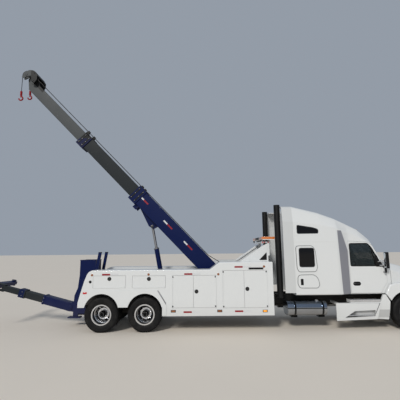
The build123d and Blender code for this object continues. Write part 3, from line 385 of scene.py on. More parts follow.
def paint(name, colour, roughness=0.3, coat=0.6, dust=0.18, dust_top=1.0, patches=None):
    """Sprayed and clear-coated paint with dust near the ground and faint orange peel."""
    finish = Finish(name)
    cloud = finish.noise(1.7, 4.0)
    streak = finish.noise(2.2, 3.0, (6, 6, 0.7))
    low = 1 - finish.axis("Z").ramp(0.2, dust_top)
    grime = (low * (0.35 + cloud) * dust + (streak - 0.62).held() * 0.25 * dust).held()
    base = finish.mix(grime, finish.patched(colour, patches), DUST)
    rough = (grime * 0.9 + (cloud - 0.5) * 0.08 + roughness).held()
    peel = finish.bump(finish.noise(160, 1.0), 0.03, 0.002)
    return finish.surface(**{"Base Color": base, "Roughness": rough, "Coat Weight": coat,
                             "Coat Roughness": 0.06, "Specular IOR Level": 0.3, "Normal": peel})


def worn_paint(name, colour, roughness=0.38, wear=0.5, patches=None):
    """Machine paint with rubbed streaks along the stage and dull patches."""
    finish = Finish(name)
    cloud = finish.noise(2.6, 5.0)
    scratch = finish.noise(9.0, 4.0, (0.7, 6, 0.7))
    worn = (scratch.ramp(0.66, 0.8) * cloud.ramp(0.45, 0.65) * wear).held()
    tone = finish.patched(finish.mix((cloud * 0.5).held(), colour, tinted(colour, 1.25)), patches)
    base = finish.mix(worn, tone, BARE_STEEL)
    low = (1 - finish.axis("Z").ramp(0.2, 1.2)) * (cloud + 0.2) * 0.12
    base = finish.mix(low.held(), base, DUST)
    rough = (roughness + (cloud - 0.5) * 0.22 + worn * 0.2).held()
    grain = finish.bump(finish.noise(90, 2.0), 0.05, 0.003)
    return finish.surface(**{"Base Color": base, "Roughness": rough, "Coat Weight": 0.04,
                             "Coat Roughness": 0.2, "Specular IOR Level": 0.14, "Normal": grain})


def metal(name, colour, roughness=0.2, brushed=(1, 1, 1), grain=60.0, grime=0.15, patches=None):
    """Bare metal with a brushed grain along the axes that brushed leaves low."""
    finish = Finish(name)
    cloud = finish.noise(3.0, 4.0)
    line = finish.noise(grain, 2.0, brushed)
    stain = (cloud.ramp(0.45, 0.75) * grime).held()
    base = finish.mix(stain, finish.patched(colour, patches), (0.16, 0.15, 0.14, 1))
    rough = (roughness + (line - 0.5) * 0.16 + (cloud - 0.5) * 0.12).held()
    return finish.surface(**{"Base Color": base, "Roughness": rough, "Metallic": 1.0,
                             "Normal": finish.bump(line, 0.06, 0.002)})


def rubber(name, colour=(0.007, 0.007, 0.0075, 1), dusty=0.35):
    """Tyre or seal rubber, greyer where dust sits."""
    finish = Finish(name)
    cloud = finish.noise(7.0, 5.0)
    dust = (cloud.ramp(0.42, 0.72) * dusty).held()
    base = finish.mix(dust, colour, (0.035, 0.033, 0.030, 1))
    rough = (0.66 + (cloud - 0.5) * 0.3).held()
    return finish.surface(**{"Base Color": base, "Roughness": rough, "Specular IOR Level": 0.18,
                             "Normal": finish.bump(finish.noise(220, 2.0), 0.12, 0.002)})


def plastic(name, colour, roughness=0.5, grain=240.0):
    """Moulded plastic with a fine grain."""
    finish = Finish(name)
    cloud = finish.noise(5.0, 3.0)
    base = finish.mix((cloud * 0.35).held(), colour, tinted(colour, 1.5, 0.004))
    rough = (roughness + (cloud - 0.5) * 0.15).held()
    return finish.surface(**{"Base Color": base, "Roughness": rough, "Specular IOR Level": 0.25,
                             "Normal": finish.bump(finish.noise(grain, 2.0), 0.1, 0.001)})


def lens(name, colour, glow=0.0):
    """A moulded lamp lens with fine vertical flutes."""
    finish = Finish(name)
    bands = {"Vector": finish.place, "Scale": 40.0}
    flutes = finish.node("ShaderNodeTexWave", {"wave_type": "BANDS"}, bands, "Fac")
    base = finish.mix(flutes * 0.4, colour, tinted(colour, 0.45))
    rough = 0.12 + flutes * 0.1
    return finish.surface(**{"Base Color": base, "Roughness": rough, "Coat Weight": 1.0,
                             "Emission Color": base, "Emission Strength": glow,
                             "Normal": finish.bump(flutes, 0.3, 0.002)})


def tape(name, colour):
    """Reflecting tape with its fine honeycomb."""
    finish = Finish(name)
    cells = finish.node("ShaderNodeTexVoronoi", {"feature": "DISTANCE_TO_EDGE"},
                        {"Vector": finish.place, "Scale": 130.0}, "Distance")
    edge = 1 - cells.ramp(0.0, 0.12)
    base = finish.mix(edge * 0.45, colour, tinted(colour, 1.4, 0.01))
    return finish.surface(**{"Base Color": base, "Roughness": (0.28 + edge * 0.15).held(),
                             "Normal": finish.bump(edge, 0.1, 0.001)})


def wire_rope(name):
    """Steel strands laid round a rope, seen as slanting bands."""
    finish = Finish(name)
    x, y, z = (finish.axis(letter) for letter in "XYZ")
    lay = x * 190.0 + z * 150.0 + y * 310.0
    band = lay.maths("SINE").ramp(-0.6, 0.6)
    base = finish.mix(band, (0.008, 0.008, 0.008, 1), (0.065, 0.063, 0.060, 1))
    return finish.surface(**{"Base Color": base, "Roughness": (0.42 + band * 0.2).held(), "Metallic": 0.7,
                             "Normal": finish.bump(band, 0.5, 0.004)})


def cab_glass_finish(name):
    """Black privacy glass in the sleeper and clear tinted glass further forward."""
    finish = Finish(name)
    forward = finish.axis("X").ramp(TANDEM_X + 6.7, TANDEM_X + 6.75)
    smear = finish.noise(3.0, 3.0)
    base = finish.mix(forward, (0.002, 0.002, 0.003, 1), (0.012, 0.022, 0.026, 1))
    alpha = (1 - forward * 0.45).held()
    rough = (0.03 + smear * 0.05).held()
    return finish.surface(**{"Base Color": base, "Roughness": rough, "Specular IOR Level": 0.35,
                             "Alpha": alpha})


def clear_glass(name):
    """Lightly tinted safety glass, a little smeared."""
    finish = Finish(name)
    smear = finish.noise(3.0, 3.0)
    base = finish.mix(smear, (0.008, 0.016, 0.018, 1), (0.02, 0.03, 0.034, 1))
    return finish.surface(**{"Base Color": base, "Roughness": (0.03 + smear * 0.05).held(),
                             "Specular IOR Level": 0.4, "Alpha": (0.52 + smear * 0.1).held()})


def fabric(name, colour):
    """Woven upholstery."""
    finish = Finish(name)
    bands = {"Vector": finish.place, "Scale": 90.0, "Distortion": 2.0}
    weave = finish.node("ShaderNodeTexWave", {"wave_type": "BANDS"}, bands, "Fac")
    base = finish.mix(weave * 0.5, colour, tinted(colour, 0.6))
    return finish.surface(**{"Base Color": base, "Roughness": (0.8 + weave * 0.1).held(),
                             "Normal": finish.bump(weave, 0.2, 0.002)})


def concrete(name, colour):
    """The pale floor, with faint stains and grain."""
    finish = Finish(name)
    stain = finish.noise(0.35, 5.0)
    grain = finish.noise(40.0, 3.0)
    base = finish.mix((stain * 0.35 + grain * 0.12).held(), colour, tinted(colour, 0.86))
    return finish.surface(**{"Base Color": base, "Roughness": (0.8 + grain * 0.15).held(),
                             "Normal": finish.bump(grain, 0.15, 0.004)})


FINISHES = {}


def lay_finishes(colours):
    """Makes every finish once, by name."""
    white = tuple(colours.body_white)
    navy = tuple(colours.boom_navy)
    grey = tuple(colours.stage_grey)
    dark = tuple(colours.stage_dark)
    FINISHES.update({
        "white": paint("white paint", white),
        "cab_white": paint("cab paint", white, patches=cab_patches),
        "shade_white": paint("white paint in shade", tinted(white, 0.84)),
        "navy": worn_paint("navy paint", navy, wear=0.35),
        "fairing_white": paint("fairing paint", white, patches=fairing_patches),
        "arm_dark": worn_paint("dark underlift paint with a navy collar", dark, 0.5, patches=arm_patches),
        "tip_grey": worn_paint("grey boom paint with a black head", grey, 0.5, patches=tip_patches),
        "stage_dark": worn_paint("dark boom paint", dark, 0.5),
        "mid_dark": worn_paint("dark boom paint with a navy collar", dark, 0.5, patches=mid_patches),
        "head_dark": worn_paint("dark head paint", GUNMETAL, 0.45),
        "black": paint("black chassis paint", (0.006, 0.006, 0.0065, 1), 0.55, 0.02, 0.12, 1.3),
        "satin_black": plastic("satin black", (0.005, 0.005, 0.0055, 1), 0.42),
        "trim": plastic("dark trim", (0.03, 0.03, 0.032, 1), 0.55),
        "trim_grey": plastic("grey trim", (0.16, 0.165, 0.17, 1), 0.5),
        "polished": metal("polished aluminium", (0.86, 0.87, 0.89, 1), 0.16, (0.4, 6, 6)),
        "tank_metal": metal("tank aluminium", (0.40, 0.42, 0.45, 1), 0.14, (0.4, 6, 6), patches=tank_patches),
        "wheel_metal": metal("forged wheel aluminium", (0.78, 0.79, 0.81, 1), 0.2, (3, 1, 3),
                             patches=wheel_patches),
        "chrome": metal("chrome", (0.90, 0.91, 0.93, 1), 0.06, grain=20.0, grime=0.05),
        "steel": metal("dull steel", (0.32, 0.32, 0.33, 1), 0.42, grime=0.5),
        "dark_steel": metal("dark steel", (0.07, 0.07, 0.075, 1), 0.4, grime=0.4),
        "rubber": rubber("tyre rubber"),
        "seal": rubber("black seal", dusty=0.1),
        "amber": lens("amber lens", (0.62, 0.16, 0.01, 1), 0.15),
        "amber_lit": lens("bright amber lens", (0.95, 0.36, 0.02, 1), 0.6),
        "brown_lens": lens("brown lens", (0.30, 0.10, 0.03, 1), 0.05),
        "red_lens": lens("red lens", (0.50, 0.01, 0.015, 1), 0.15),
        "clear_lens": lens("clear lens", (0.75, 0.78, 0.80, 1), 0.1),
        "tape_red": tape("red tape", (0.26, 0.002, 0.008, 1)),
        "tape_white": tape("white tape", (0.60, 0.61, 0.62, 1)),
        "hook_red": worn_paint("hook red", tuple(colours.hook_red), wear=0.6, patches=hook_patches),
        "door_white": paint("compartment door paint", white, patches=door_patches),
        "seam_grey": plastic("grey seam", (0.10, 0.105, 0.11, 1), 0.5),
        "rope": wire_rope("wire rope"),
        "cab_glass": cab_glass_finish("cab glass"),
        "glass": clear_glass("door glass"),
        "seat": fabric("seat cloth", (0.06, 0.06, 0.065, 1)),
        "mirror": metal("mirror glass", (0.75, 0.80, 0.85, 1), 0.02, grain=10.0, grime=0.02),
        "floor": concrete("pale floor", tuple(colours.floor_pale)),
    })


def deselect():
    bpy.ops.object.select_all(action="DESELECT")


def apply_place(piece, matrix=None):
    """Puts a piece's place and turn into its mesh, after moving it by matrix."""
    if matrix is not None:
        piece.matrix_world = matrix @ piece.matrix_world
    deselect()
    piece.select_set(True)
    bpy.context.view_layer.objects.active = piece
    bpy.ops.object.transform_apply(location=True, rotation=True, scale=True)


def apply_modifier(piece, kind, **settings):
    """Adds one modifier with its settings and applies it."""
    deselect()
    piece.select_set(True)
    bpy.context.view_layer.objects.active = piece
    made = piece.modifiers.new("step", kind)
    for key, value in settings.items():
        setattr(made, key, value)
    bpy.ops.object.modifier_apply(modifier=made.name)


def bevelled(piece, width, segments=2, angle=35):
    apply_modifier(piece, "BEVEL", width=width, segments=segments, limit_method="ANGLE",
                   angle_limit=math.radians(angle))


def box(low, high, bevel=0.0, segments=2):
    """A box between two corners with rounded edges."""
    deselect()
    low, high = Vector(low), Vector(high)
    bpy.ops.mesh.primitive_cube_add(size=1, location=(low + high) / 2, scale=high - low)
    piece = bpy.context.object
    apply_place(piece)
    if bevel:
        bevelled(piece, bevel, segments)
    return piece


def rod(start, end, radius, sides=20, bevel=0.0):
    """A round bar between two points."""
    deselect()
    start, end = Vector(start), Vector(end)
    turn = (end - start).to_track_quat("Z", "Y").to_euler()
    bpy.ops.mesh.primitive_cylinder_add(radius=radius, depth=(end - start).length, vertices=sides,
                                        location=(start + end) / 2, rotation=turn)
    piece = bpy.context.object
    apply_place(piece)
    if bevel:
        bevelled(piece, bevel)
    return piece


def edit(piece, *steps):
    """Runs edit-mode steps on a piece; each is a function that takes no value."""
    deselect()
    piece.select_set(True)
    bpy.context.view_layer.objects.active = piece
    bpy.ops.object.mode_set(mode="EDIT")
    bpy.ops.mesh.select_all(action="SELECT")
    for step in steps:
        step()
    bpy.ops.object.mode_set(mode="OBJECT")
    return piece


def outward():
    bpy.ops.mesh.select_all(action="SELECT")
    bpy.ops.mesh.remove_doubles(threshold=0.00001)
    bpy.ops.mesh.normals_make_consistent(inside=False)


def loop_of(points):
    """A closed line of edges through points, made from a circle."""
    deselect()
    bpy.ops.mesh.primitive_circle_add(vertices=len(points), radius=1)
    piece = bpy.context.object
    for vertex, point in zip(piece.data.vertices, points):
        vertex.co = point
    return piece


def plate(points, y0, y1, bevel=0.0, segments=2):
    """An X, Z outline extruded from y0 to y1."""
    piece = loop_of([(x, y0, z) for x, z in points])
    push = {"value": (0, y1 - y0, 0)}
    edit(piece, bpy.ops.mesh.edge_face_add,
         lambda: bpy.ops.mesh.extrude_region_move(TRANSFORM_OT_translate=push), outward)
    if bevel:
        bevelled(piece, bevel, segments)
    return piece


def lathe(profile, centre=(0, 0, 0), steps=48):
    """A (radius, y) profile spun about the Y axis through centre."""
    piece = loop_of([(r, y, 0) for r, y in profile])
    spin = {"steps": steps, "angle": 2 * math.pi, "center": (0, 0, 0), "axis": (0, 1, 0)}
    edit(piece, lambda: bpy.ops.mesh.spin(**spin), outward)
    apply_place(piece, Matrix.Translation(centre))
    return piece


def pipe(points, radius, closed=False, smooth=True, sides=3):
    """A round pipe, hose or bead along points."""
    deselect()
    bpy.ops.curve.primitive_nurbs_path_add()
    piece = bpy.context.object
    curve = piece.data
    curve.splines.clear()
    line = curve.splines.new("NURBS" if smooth else "POLY")
    line.points.add(len(points) - 1)
    for spot, point in zip(line.points, points):
        spot.co = (*point, 1)
    line.use_cyclic_u = closed
    if smooth:
        line.order_u = 3
        line.use_endpoint_u = not closed
        line.resolution_u = 4
    curve.bevel_depth = radius
    curve.bevel_resolution = sides
    curve.use_fill_caps = True
    bpy.ops.object.convert(target="MESH")
    piece = bpy.context.object
    apply_place(piece)
    return piece


def rounded(points, radius, steps=4):
    """Points of a closed X, Z outline with its corners rounded."""
    result = []
    count = len(points)
    for i, corner in enumerate(points):
        corner = Vector(corner)
        before, after = Vector(points[i - 1]), Vector(points[(i + 1) % count])
        reach = min(radius, (before - corner).length * 0.45, (after - corner).length * 0.45)
        start = corner + (before - corner).normalized() * reach
        end = corner + (after - corner).normalized() * reach
        for k in range(steps + 1):
            t = k / steps
            result.append(tuple(start * (1 - t) ** 2 + corner * 2 * t * (1 - t) + end * t ** 2))
    return result


def joined(pieces):
    """One mesh from several pieces."""
    deselect()
    for piece in pieces:
        piece.select_set(True)
    bpy.context.view_layer.objects.active = pieces[0]
    bpy.ops.object.join()
    return bpy.context.object


def copied(piece, matrix):
    """A copy with its own mesh, moved by matrix; a mirrored one is turned right side out."""
    twin = piece.copy()
    twin.data = piece.data.copy()
    bpy.context.collection.objects.link(twin)
    twin.data.transform(matrix)
    if matrix.determinant() < 0:
        twin.data.flip_normals()
    return twin


def mirrored(piece):
    return copied(piece, Matrix.Scale(-1, 4, (0, 1, 0)))


def finished(piece, name, body, finish, angle=35):
    """Names, smooths and paints a piece, which rides on its body when one is given."""
    piece.name = name
    piece.data.name = name
    deselect()
    piece.select_set(True)
    bpy.context.view_layer.objects.active = piece
    bpy.ops.object.shade_smooth_by_angle(angle=math.radians(angle))
    piece.data.materials.clear()
    piece.data.materials.append(FINISHES[finish])
    if body:
        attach(piece, body)
    return piece


def on_both_sides(piece, name, bodies, finish, angle=35):
    """Finishes a piece made on the right and its mirror image on the left."""
    twin = mirrored(piece)
    finished(piece, f"{name}_right", bodies[0], finish, angle)
    finished(twin, f"{name}_left", bodies[1], finish, angle)


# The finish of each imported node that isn't a tyre, a wheel, a compartment door or plain white
NODE_FINISHES = {
    "cab_white": ["cab_shell"],
    "shade_white": ["side_extenders"],
    "navy": ["boom_base", "boom_turret", "lift_barrel", "lift_sleeve", "lift_mast", "underlift_base",
             "crossbar"],
    "tip_grey": ["boom_tip"],
    "arm_dark": ["underlift_stage"],
    "fairing_white": ["step_fairings"],
    "mid_dark": ["boom_mid"],
    "stage_dark": ["underlift_toe"],
    "black": ["chassis_frame", "front_axle", "rear_axles", "knuckle_left", "knuckle_right", "engine"],
    "satin_black": ["exhaust_stacks", "mirror_left", "mirror_right"],
    "tank_metal": ["fuel_tanks"],
    "steel": ["lift_rod"],
    "trim": ["front_trim", "cab_interior"],
    "hook_red": ["hook_left", "hook_right"],
    "cab_glass": ["cab_glass"],
}


def smoothing_tree():
    """A geometry group that merges loose triangles and smooths all but the sharp edges."""
    tree = bpy.data.node_groups.new("merge and smooth", "GeometryNodeTree")
    tree.interface.new_socket("Geometry", in_out="INPUT", socket_type="NodeSocketGeometry")
    tree.interface.new_socket("Geometry", in_out="OUTPUT", socket_type="NodeSocketGeometry")
    start = tree.nodes.new("NodeGroupInput")
    end = tree.nodes.new("NodeGroupOutput")
    merge = tree.nodes.new("GeometryNodeMergeByDistance")
    merge.inputs["Distance"].default_value = 0.00005
    faces = tree.nodes.new("GeometryNodeSetShadeSmooth")
    edges = tree.nodes.new("GeometryNodeSetShadeSmooth")
    edges.domain = "EDGE"
    edges.inputs["Shade Smooth"].default_value = False
    angle = tree.nodes.new("GeometryNodeInputMeshEdgeAngle")
    sharp = tree.nodes.new("FunctionNodeCompare")
    sharp.operation = "GREATER_THAN"
    sharp.inputs["B"].default_value = math.radians(28)
    tree.links.new(start.outputs[0], merge.inputs["Geometry"])
    tree.links.new(merge.outputs["Geometry"], faces.inputs["Geometry"])
    tree.links.new(faces.outputs["Geometry"], edges.inputs["Geometry"])
    tree.links.new(angle.outputs["Unsigned Angle"], sharp.inputs["A"])
    tree.links.new(sharp.outputs["Result"], edges.inputs["Selection"])
    tree.links.new(edges.outputs["Geometry"], end.inputs[0])
    return tree


class TRUCK_OT_finishes(bpy.types.Operator):
    """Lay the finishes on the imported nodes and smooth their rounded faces"""
    bl_idname = "truck.finishes"
    bl_label = "Finishes"

    def execute(self, context):
        lay_finishes(context.scene.truck_colours)
        smooth = smoothing_tree()
        chosen = {node: finish for finish, nodes in NODE_FINISHES.items() for node in nodes}
        for name, node in frame["nodes"].items():
            if name.startswith("tyre"):
                finish = "rubber"
            elif name.startswith("wheel"):
                finish = "wheel_metal"
            elif name.startswith(("leaf", "drop_door")):
                finish = "door_white"
            else:
                finish = chosen.get(name, "white")
            node.data.materials.clear()
            node.data.materials.append(FINISHES[finish])
            node.modifiers.new("smooth", "NODES").node_group = smooth
        return {"FINISHED"}


def placed(points):
    """An outline measured from midway between the rear axles, in world places."""
    return [(TANDEM_X + x, z) for x, z in points]


def pair(pattern):
    """The bodies of a pair of pieces, the right one first."""
    return pattern.format("right"), pattern.format("left")


def around(piece, count):
    """The piece repeated round the Y axis."""
    deselect()
    bpy.ops.object.empty_add(rotation=(0, 2 * math.pi / count, 0))
    turn = bpy.context.object
    apply_modifier(piece, "ARRAY", count=count, use_relative_offset=False, use_object_offset=True,
                   offset_object=turn)
    bpy.data.objects.remove(turn)
    return piece


def cut_out(piece, tool):
    """The piece less the tool, which goes."""
    apply_modifier(piece, "BOOLEAN", operation="DIFFERENCE", solver="EXACT", object=tool)
    bpy.data.objects.remove(tool)
    return piece


def bead(outline, y, radius, corner=0.05):
    """A rubber bead along a closed X, Z outline at y."""
    line = [(x, y, z) for x, z in rounded(placed(outline), corner)]
    return pipe(line, radius, closed=True, smooth=False, sides=2)


def panel(outline, y0, y1, bevel=0.003, corner=0.05):
    """A flat panel with rounded corners."""
    return plate(rounded(placed(outline), corner), y0, y1, bevel, 1)


def local(matrix, s, y, n):
    """A place on a raised piece: along it, sideways and across it."""
    return matrix @ Vector((s, y, n))


def laid(piece, matrix):
    """A piece drawn along X, moved onto a raised piece."""
    apply_place(piece, matrix)
    return piece


class TRUCK_OT_tyres(bpy.types.Operator):
    """Build the tyres, with ribs in front and tread blocks on the drive wheels"""
    bl_idname = "truck.tyres"
    bl_label = "Tyres"
    shoulder = 0.107
    tread_wear = 0.001
    facets = 72
    grooves = (0.066, 0.022, -0.022, -0.066)
    groove_half, groove_floor_half = 0.007, 0.005
    block_count = 56
    block_share = 0.39
    block_rows = ((-0.088, 0.023, 0), (-0.030, 0.024, 0.5), (0.030, 0.024, 0), (0.088, 0.023, 0.5))

    def execute(self, context):
        depth = context.scene.truck_sizes.tread_depth
        floor = TYRE_RADIUS - depth
        steer = lathe(self.profile(self.ribs(floor)), steps=self.facets)
        carcass = lathe(self.profile([(floor, self.shoulder), (floor, -self.shoulder)]), steps=self.facets)
        drive = joined([carcass, self.blocks(floor)])
        for side, sign in SIDES.items():
            self.place(steer, f"front_wheel_{side}", f"tyre_front_{side}", [0])
            for k in (1, 2):
                twins = [0, -sign * DUAL_STEP]
                self.place(drive, f"drive_wheels_{k}_{side}", f"tyre_drive_{k}_{side}", twins)
        bpy.data.objects.remove(steer)
        bpy.data.objects.remove(drive)
        return {"FINISHED"}

    def profile(self, tread):
        return SIDEWALL + tread + [(r, -y) for r, y in reversed(SIDEWALL)]

    def ribs(self, floor):
        """The steering tyre's five ribs, from +Y to -Y."""
        top = TYRE_RADIUS - self.tread_wear
        edge = top - 0.003
        line = [(edge, self.shoulder)]
        for y in self.grooves:
            line += [(top, y + self.groove_half), (floor, y + self.groove_floor_half),
                     (floor, y - self.groove_floor_half), (top, y - self.groove_half)]
        return line + [(edge, -self.shoulder)]

    def blocks(self, floor):
        """A ring of staggered tread blocks, rooted a little below the tread's floor."""
        pitch = 2 * math.pi * TYRE_RADIUS / self.block_count
        reach = pitch * self.block_share
        row = []
        for y, half, lag in self.block_rows:
            x = (lag - 0.25) * pitch
            low = (x - reach, y - half, floor - 0.004)
            row.append(box(low, (x + reach, y + half, TYRE_RADIUS - self.tread_wear), 0.002, 1))
        return around(joined(row), self.block_count)

    def place(self, master, body, node, offsets):
        spot = joint_place(f"{body}_spin")
        parts = [copied(master, Matrix.Translation(spot + Vector((0, offset, 0)))) for offset in offsets]
        tyre = joined(parts) if len(parts) > 1 else parts[0]
        finished(tyre, f"treaded_{node}", body, "rubber")
        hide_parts(node)


class TRUCK_OT_wheel_nuts(bpy.types.Operator):
    """Add the nuts with their washers and studs, and the hub bolts, to every wheel"""
    bl_idname = "truck.wheel_nuts"
    bl_label = "Wheel nuts"
    nut_circle, nut_count = 0.1425, 10
    hub_circle, hub_count = 0.062, 8
    # The washer, the nut and the stud: from, to, radius, sides and bevel
    nut_parts = ((0.0, -0.008, 0.021, 16, 0.001), (-0.006, -0.034, 0.0165, 6, 0.002),
                 (-0.030, -0.044, 0.010, 10, 0.001))
    front_seats = {"nuts": 0.060, "hub_bolts": 0.110}
    drive_seats = {"nuts": -0.1535, "hub_bolts": 0.040}

    def execute(self, context):
        parts = [rod((0, start, self.nut_circle), (0, end, self.nut_circle), radius, sides, bevel)
                 for start, end, radius, sides, bevel in self.nut_parts]
        nuts = around(joined(parts), self.nut_count)
        bolt = rod((0, 0.002, self.hub_circle), (0, -0.012, self.hub_circle), 0.009, 6, 0.001)
        masters = {"nuts": nuts, "hub_bolts": around(bolt, self.hub_count)}
        for side, sign in SIDES.items():
            self.place(masters, f"front_wheel_{side}", sign, self.front_seats)
            for k in (1, 2):
                self.place(masters, f"drive_wheels_{k}_{side}", sign, self.drive_seats)
        for master in masters.values():
            bpy.data.objects.remove(master)
        return {"FINISHED"}

    def place(self, masters, body, sign, seats):
        """Copies of the nuts and bolts, each on its seat on one wheel."""
        spot = joint_place(f"{body}_spin")
        turn = Matrix.Scale(-sign, 4, (0, 1, 0))
        for name, finish in (("nuts", "chrome"), ("hub_bolts", "steel")):
            seat = spot + Vector((0, sign * seats[name], 0))
            made = copied(masters[name], Matrix.Translation(seat) @ turn)
            finished(made, f"{name}_{body}", body, finish)


class TRUCK_OT_cab_glass(bpy.types.Operator):
    """Glaze the doors and add their seals, sail plates and handles, and the mirrors' panes and stays"""
    bl_idname = "truck.cab_glass"
    bl_label = "Door glass"
    window = [(7.105, 1.905), (7.095, 2.610), (7.680, 2.610), (7.800, 2.470), (7.910, 2.240), (8.015, 2.010),
              (8.020, 1.905)]
    window_bar = [(7.752, 2.545), (7.792, 2.470), (7.925, 1.915), (7.880, 1.915)]
    sail_plate = [(7.895, 2.275), (7.925, 2.262), (8.020, 2.060), (8.140, 1.905), (8.135, 1.880),
                  (7.880, 1.885)]
    handle_dish = [(7.122, 1.365), (7.165, 1.428), (7.345, 1.428), (7.388, 1.365), (7.345, 1.302),
                   (7.165, 1.302)]
    grip_height = 1.368
    grip_line = ((7.160, 0.0), (7.180, 0.016), (7.230, 0.022), (7.290, 0.022), (7.330, 0.016), (7.350, 0.0))
    mirror_panes = ((2.010, 2.310), (1.860, 1.985))
    mirror_rear, mirror_front = 8.089, 8.0955
    mirror_stays = (((7.960, -1.058, 2.035), (8.050, -1.110, 2.060), (8.125, -1.175, 2.075)),
                    ((8.010, -1.058, 1.925), (8.075, -1.120, 1.930), (8.125, -1.175, 1.935)))

    def execute(self, context):
        doors = pair("cab_door_{}")
        skin = -CAB_SIDE
        pane = panel(self.window, skin + 0.022, skin + 0.016, 0)
        on_both_sides(pane, "door_glass", doors, "glass")
        seal = bead(self.window, skin + 0.002, context.scene.truck_sizes.seam_radius * 1.5)
        bar = plate(placed(self.window_bar), skin + 0.024, skin + 0.004, 0.003)
        sail = plate(rounded(placed(self.sail_plate), 0.02), skin - 0.002, skin - 0.014, 0.004)
        on_both_sides(joined([seal, bar, sail]), "door_seal", doors, "satin_black")
        dish = plate(rounded(placed(self.handle_dish), 0.05, 6), skin + 0.006, skin - 0.005, 0.004)
        on_both_sides(dish, "door_handle_dish", doors, "satin_black")
        grip = pipe([at(x, skin - out, self.grip_height) for x, out in self.grip_line], 0.010)
        on_both_sides(grip, "door_handle_grip", doors, "dark_steel")
        self.mirrors(doors)
        return {"FINISHED"}

    def mirrors(self, doors):
        """Two panes in each mirror, and the chromed stays that carry it."""
        panes = [box(at(self.mirror_rear, -1.280, low), at(self.mirror_front, -1.180, high), 0.004, 1)
                 for low, high in self.mirror_panes]
        on_both_sides(joined(panes), "mirror_glass", doors, "mirror")
        stays = [pipe([at(*point) for point in line], 0.013) for line in self.mirror_stays]
        stays.append(rod(at(8.128, -1.115, 1.700), at(8.128, -1.115, 1.875), 0.016))
        on_both_sides(joined(stays), "mirror_stays", doors, "chrome")


class TRUCK_OT_sleeper(bpy.types.Operator):
    """Add the sleeper's frames, luggage doors and strips, the roof lamps, wipers and windshield seal"""
    bl_idname = "truck.sleeper"
    bl_label = "Sleeper details"
    window = [(5.440, 1.895), (5.440, 2.480), (5.915, 2.480), (5.915, 1.895)]
    upper_window = [(5.415, 2.925), (5.415, 3.200), (5.930, 3.115), (6.085, 3.060), (6.085, 2.930)]
    window_frame = [(5.349, 2.545), (5.870, 2.545), (5.949, 2.414), (5.991, 1.863), (5.937, 1.755),
                    (5.412, 1.750), (5.362, 1.869)]
    luggage_door = [(5.377, 1.655), (5.871, 1.662), (5.987, 1.562), (6.035, 1.352), (5.967, 1.263),
                    (5.416, 1.268), (5.361, 1.388)]
    latch_plate = [(5.452, 1.352), (5.452, 1.540), (5.536, 1.540), (5.536, 1.352)]
    latch_paddle = [(5.470, 1.380), (5.470, 1.470), (5.518, 1.470), (5.518, 1.380)]
    frame_corner, window_corner, door_corner = 0.09, 0.07, 0.10
    roof_lamp_places = (-0.62, -0.2, 0, 0.2, 0.62)
    wiper_feet = (-0.55, 0.15)
    wiper_arm = ((8.235, 0, 2.075), (8.160, 0.12, 2.200), (8.010, 0.30, 2.455))
    wiper_blade = ((8.115, 0.02, 2.270), (8.000, 0.32, 2.460), (7.915, 0.52, 2.610))
    windshield_corners = ((8.206, 0.800, 2.070), (7.802, 0.738, 2.765), (7.702, 0.730, 2.850))

    def execute(self, context):
        side = -SLEEPER_SIDE
        seam = context.scene.truck_sizes.seam_radius
        opening = panel(self.window_frame, side + 0.002, side - 0.007, 0.003, self.frame_corner)
        opening = cut_out(opening, panel(self.window, side + 0.02, side - 0.02, 0, self.window_corner))
        on_both_sides(opening, "sleeper_window_frame", TRUCK, "white")
        hatch = panel(self.luggage_door, side + 0.002, side - 0.006, 0.003, self.door_corner)
        on_both_sides(hatch, "luggage_door", TRUCK, "white")
        lines = joined([bead(self.window_frame, side - 0.002, seam, self.frame_corner),
                        bead(self.luggage_door, side - 0.001, seam, self.door_corner),
                        bead(self.window, side - 0.006, seam * 0.8, self.window_corner),
                        bead(self.upper_window, side, seam * 0.8)])
        on_both_sides(lines, "sleeper_seals", TRUCK, "seam_grey")
        latch = joined([panel(self.latch_plate, side - 0.004, side - 0.011, 0.002, 0.02),
                        panel(self.latch_paddle, side - 0.010, side - 0.016, 0.002, 0.012)])
        on_both_sides(latch, "luggage_latch", TRUCK, "satin_black")
        strips = joined([box(at(5.310, side - 0.003, 2.662), at(6.660, side + 0.003, 2.712), 0.002, 1),
                         box(at(5.304, side - 0.004, 1.090), at(5.330, side + 0.003, 3.250), 0.002, 1)])
        on_both_sides(strips, "sleeper_strips", TRUCK, "white")
        self.roof_lamps()
        self.wipers()
        self.windshield()
        return {"FINISHED"}

    def roof_lamps(self):
        """Five amber lamps across the roof's front edge."""
        lamps = [box(at(7.440, y - 0.06, 3.050), at(7.560, y + 0.06, 3.078), 0.010, 2)
                 for y in self.roof_lamp_places]
        finished(joined(lamps), "roof_lamps", "truck", "amber")

    def wipers(self):
        """Two wipers, each an arm and a thinner blade."""
        parts = []
        for foot in self.wiper_feet:
            for line, radius in ((self.wiper_arm, 0.009), (self.wiper_blade, 0.007)):
                parts.append(pipe([at(x, foot + y, z) for x, y, z in line], radius))
        finished(joined(parts), "wipers", "truck", "satin_black")

    def windshield(self):
        """The seal round the windshield."""
        line = [at(*corner) for corner in self.windshield_corners]
        line += [at(x, -y, z) for x, y, z in reversed(self.windshield_corners)]
        finished(pipe(line, 0.014, True, False), "windshield_seal", "truck", "seal")


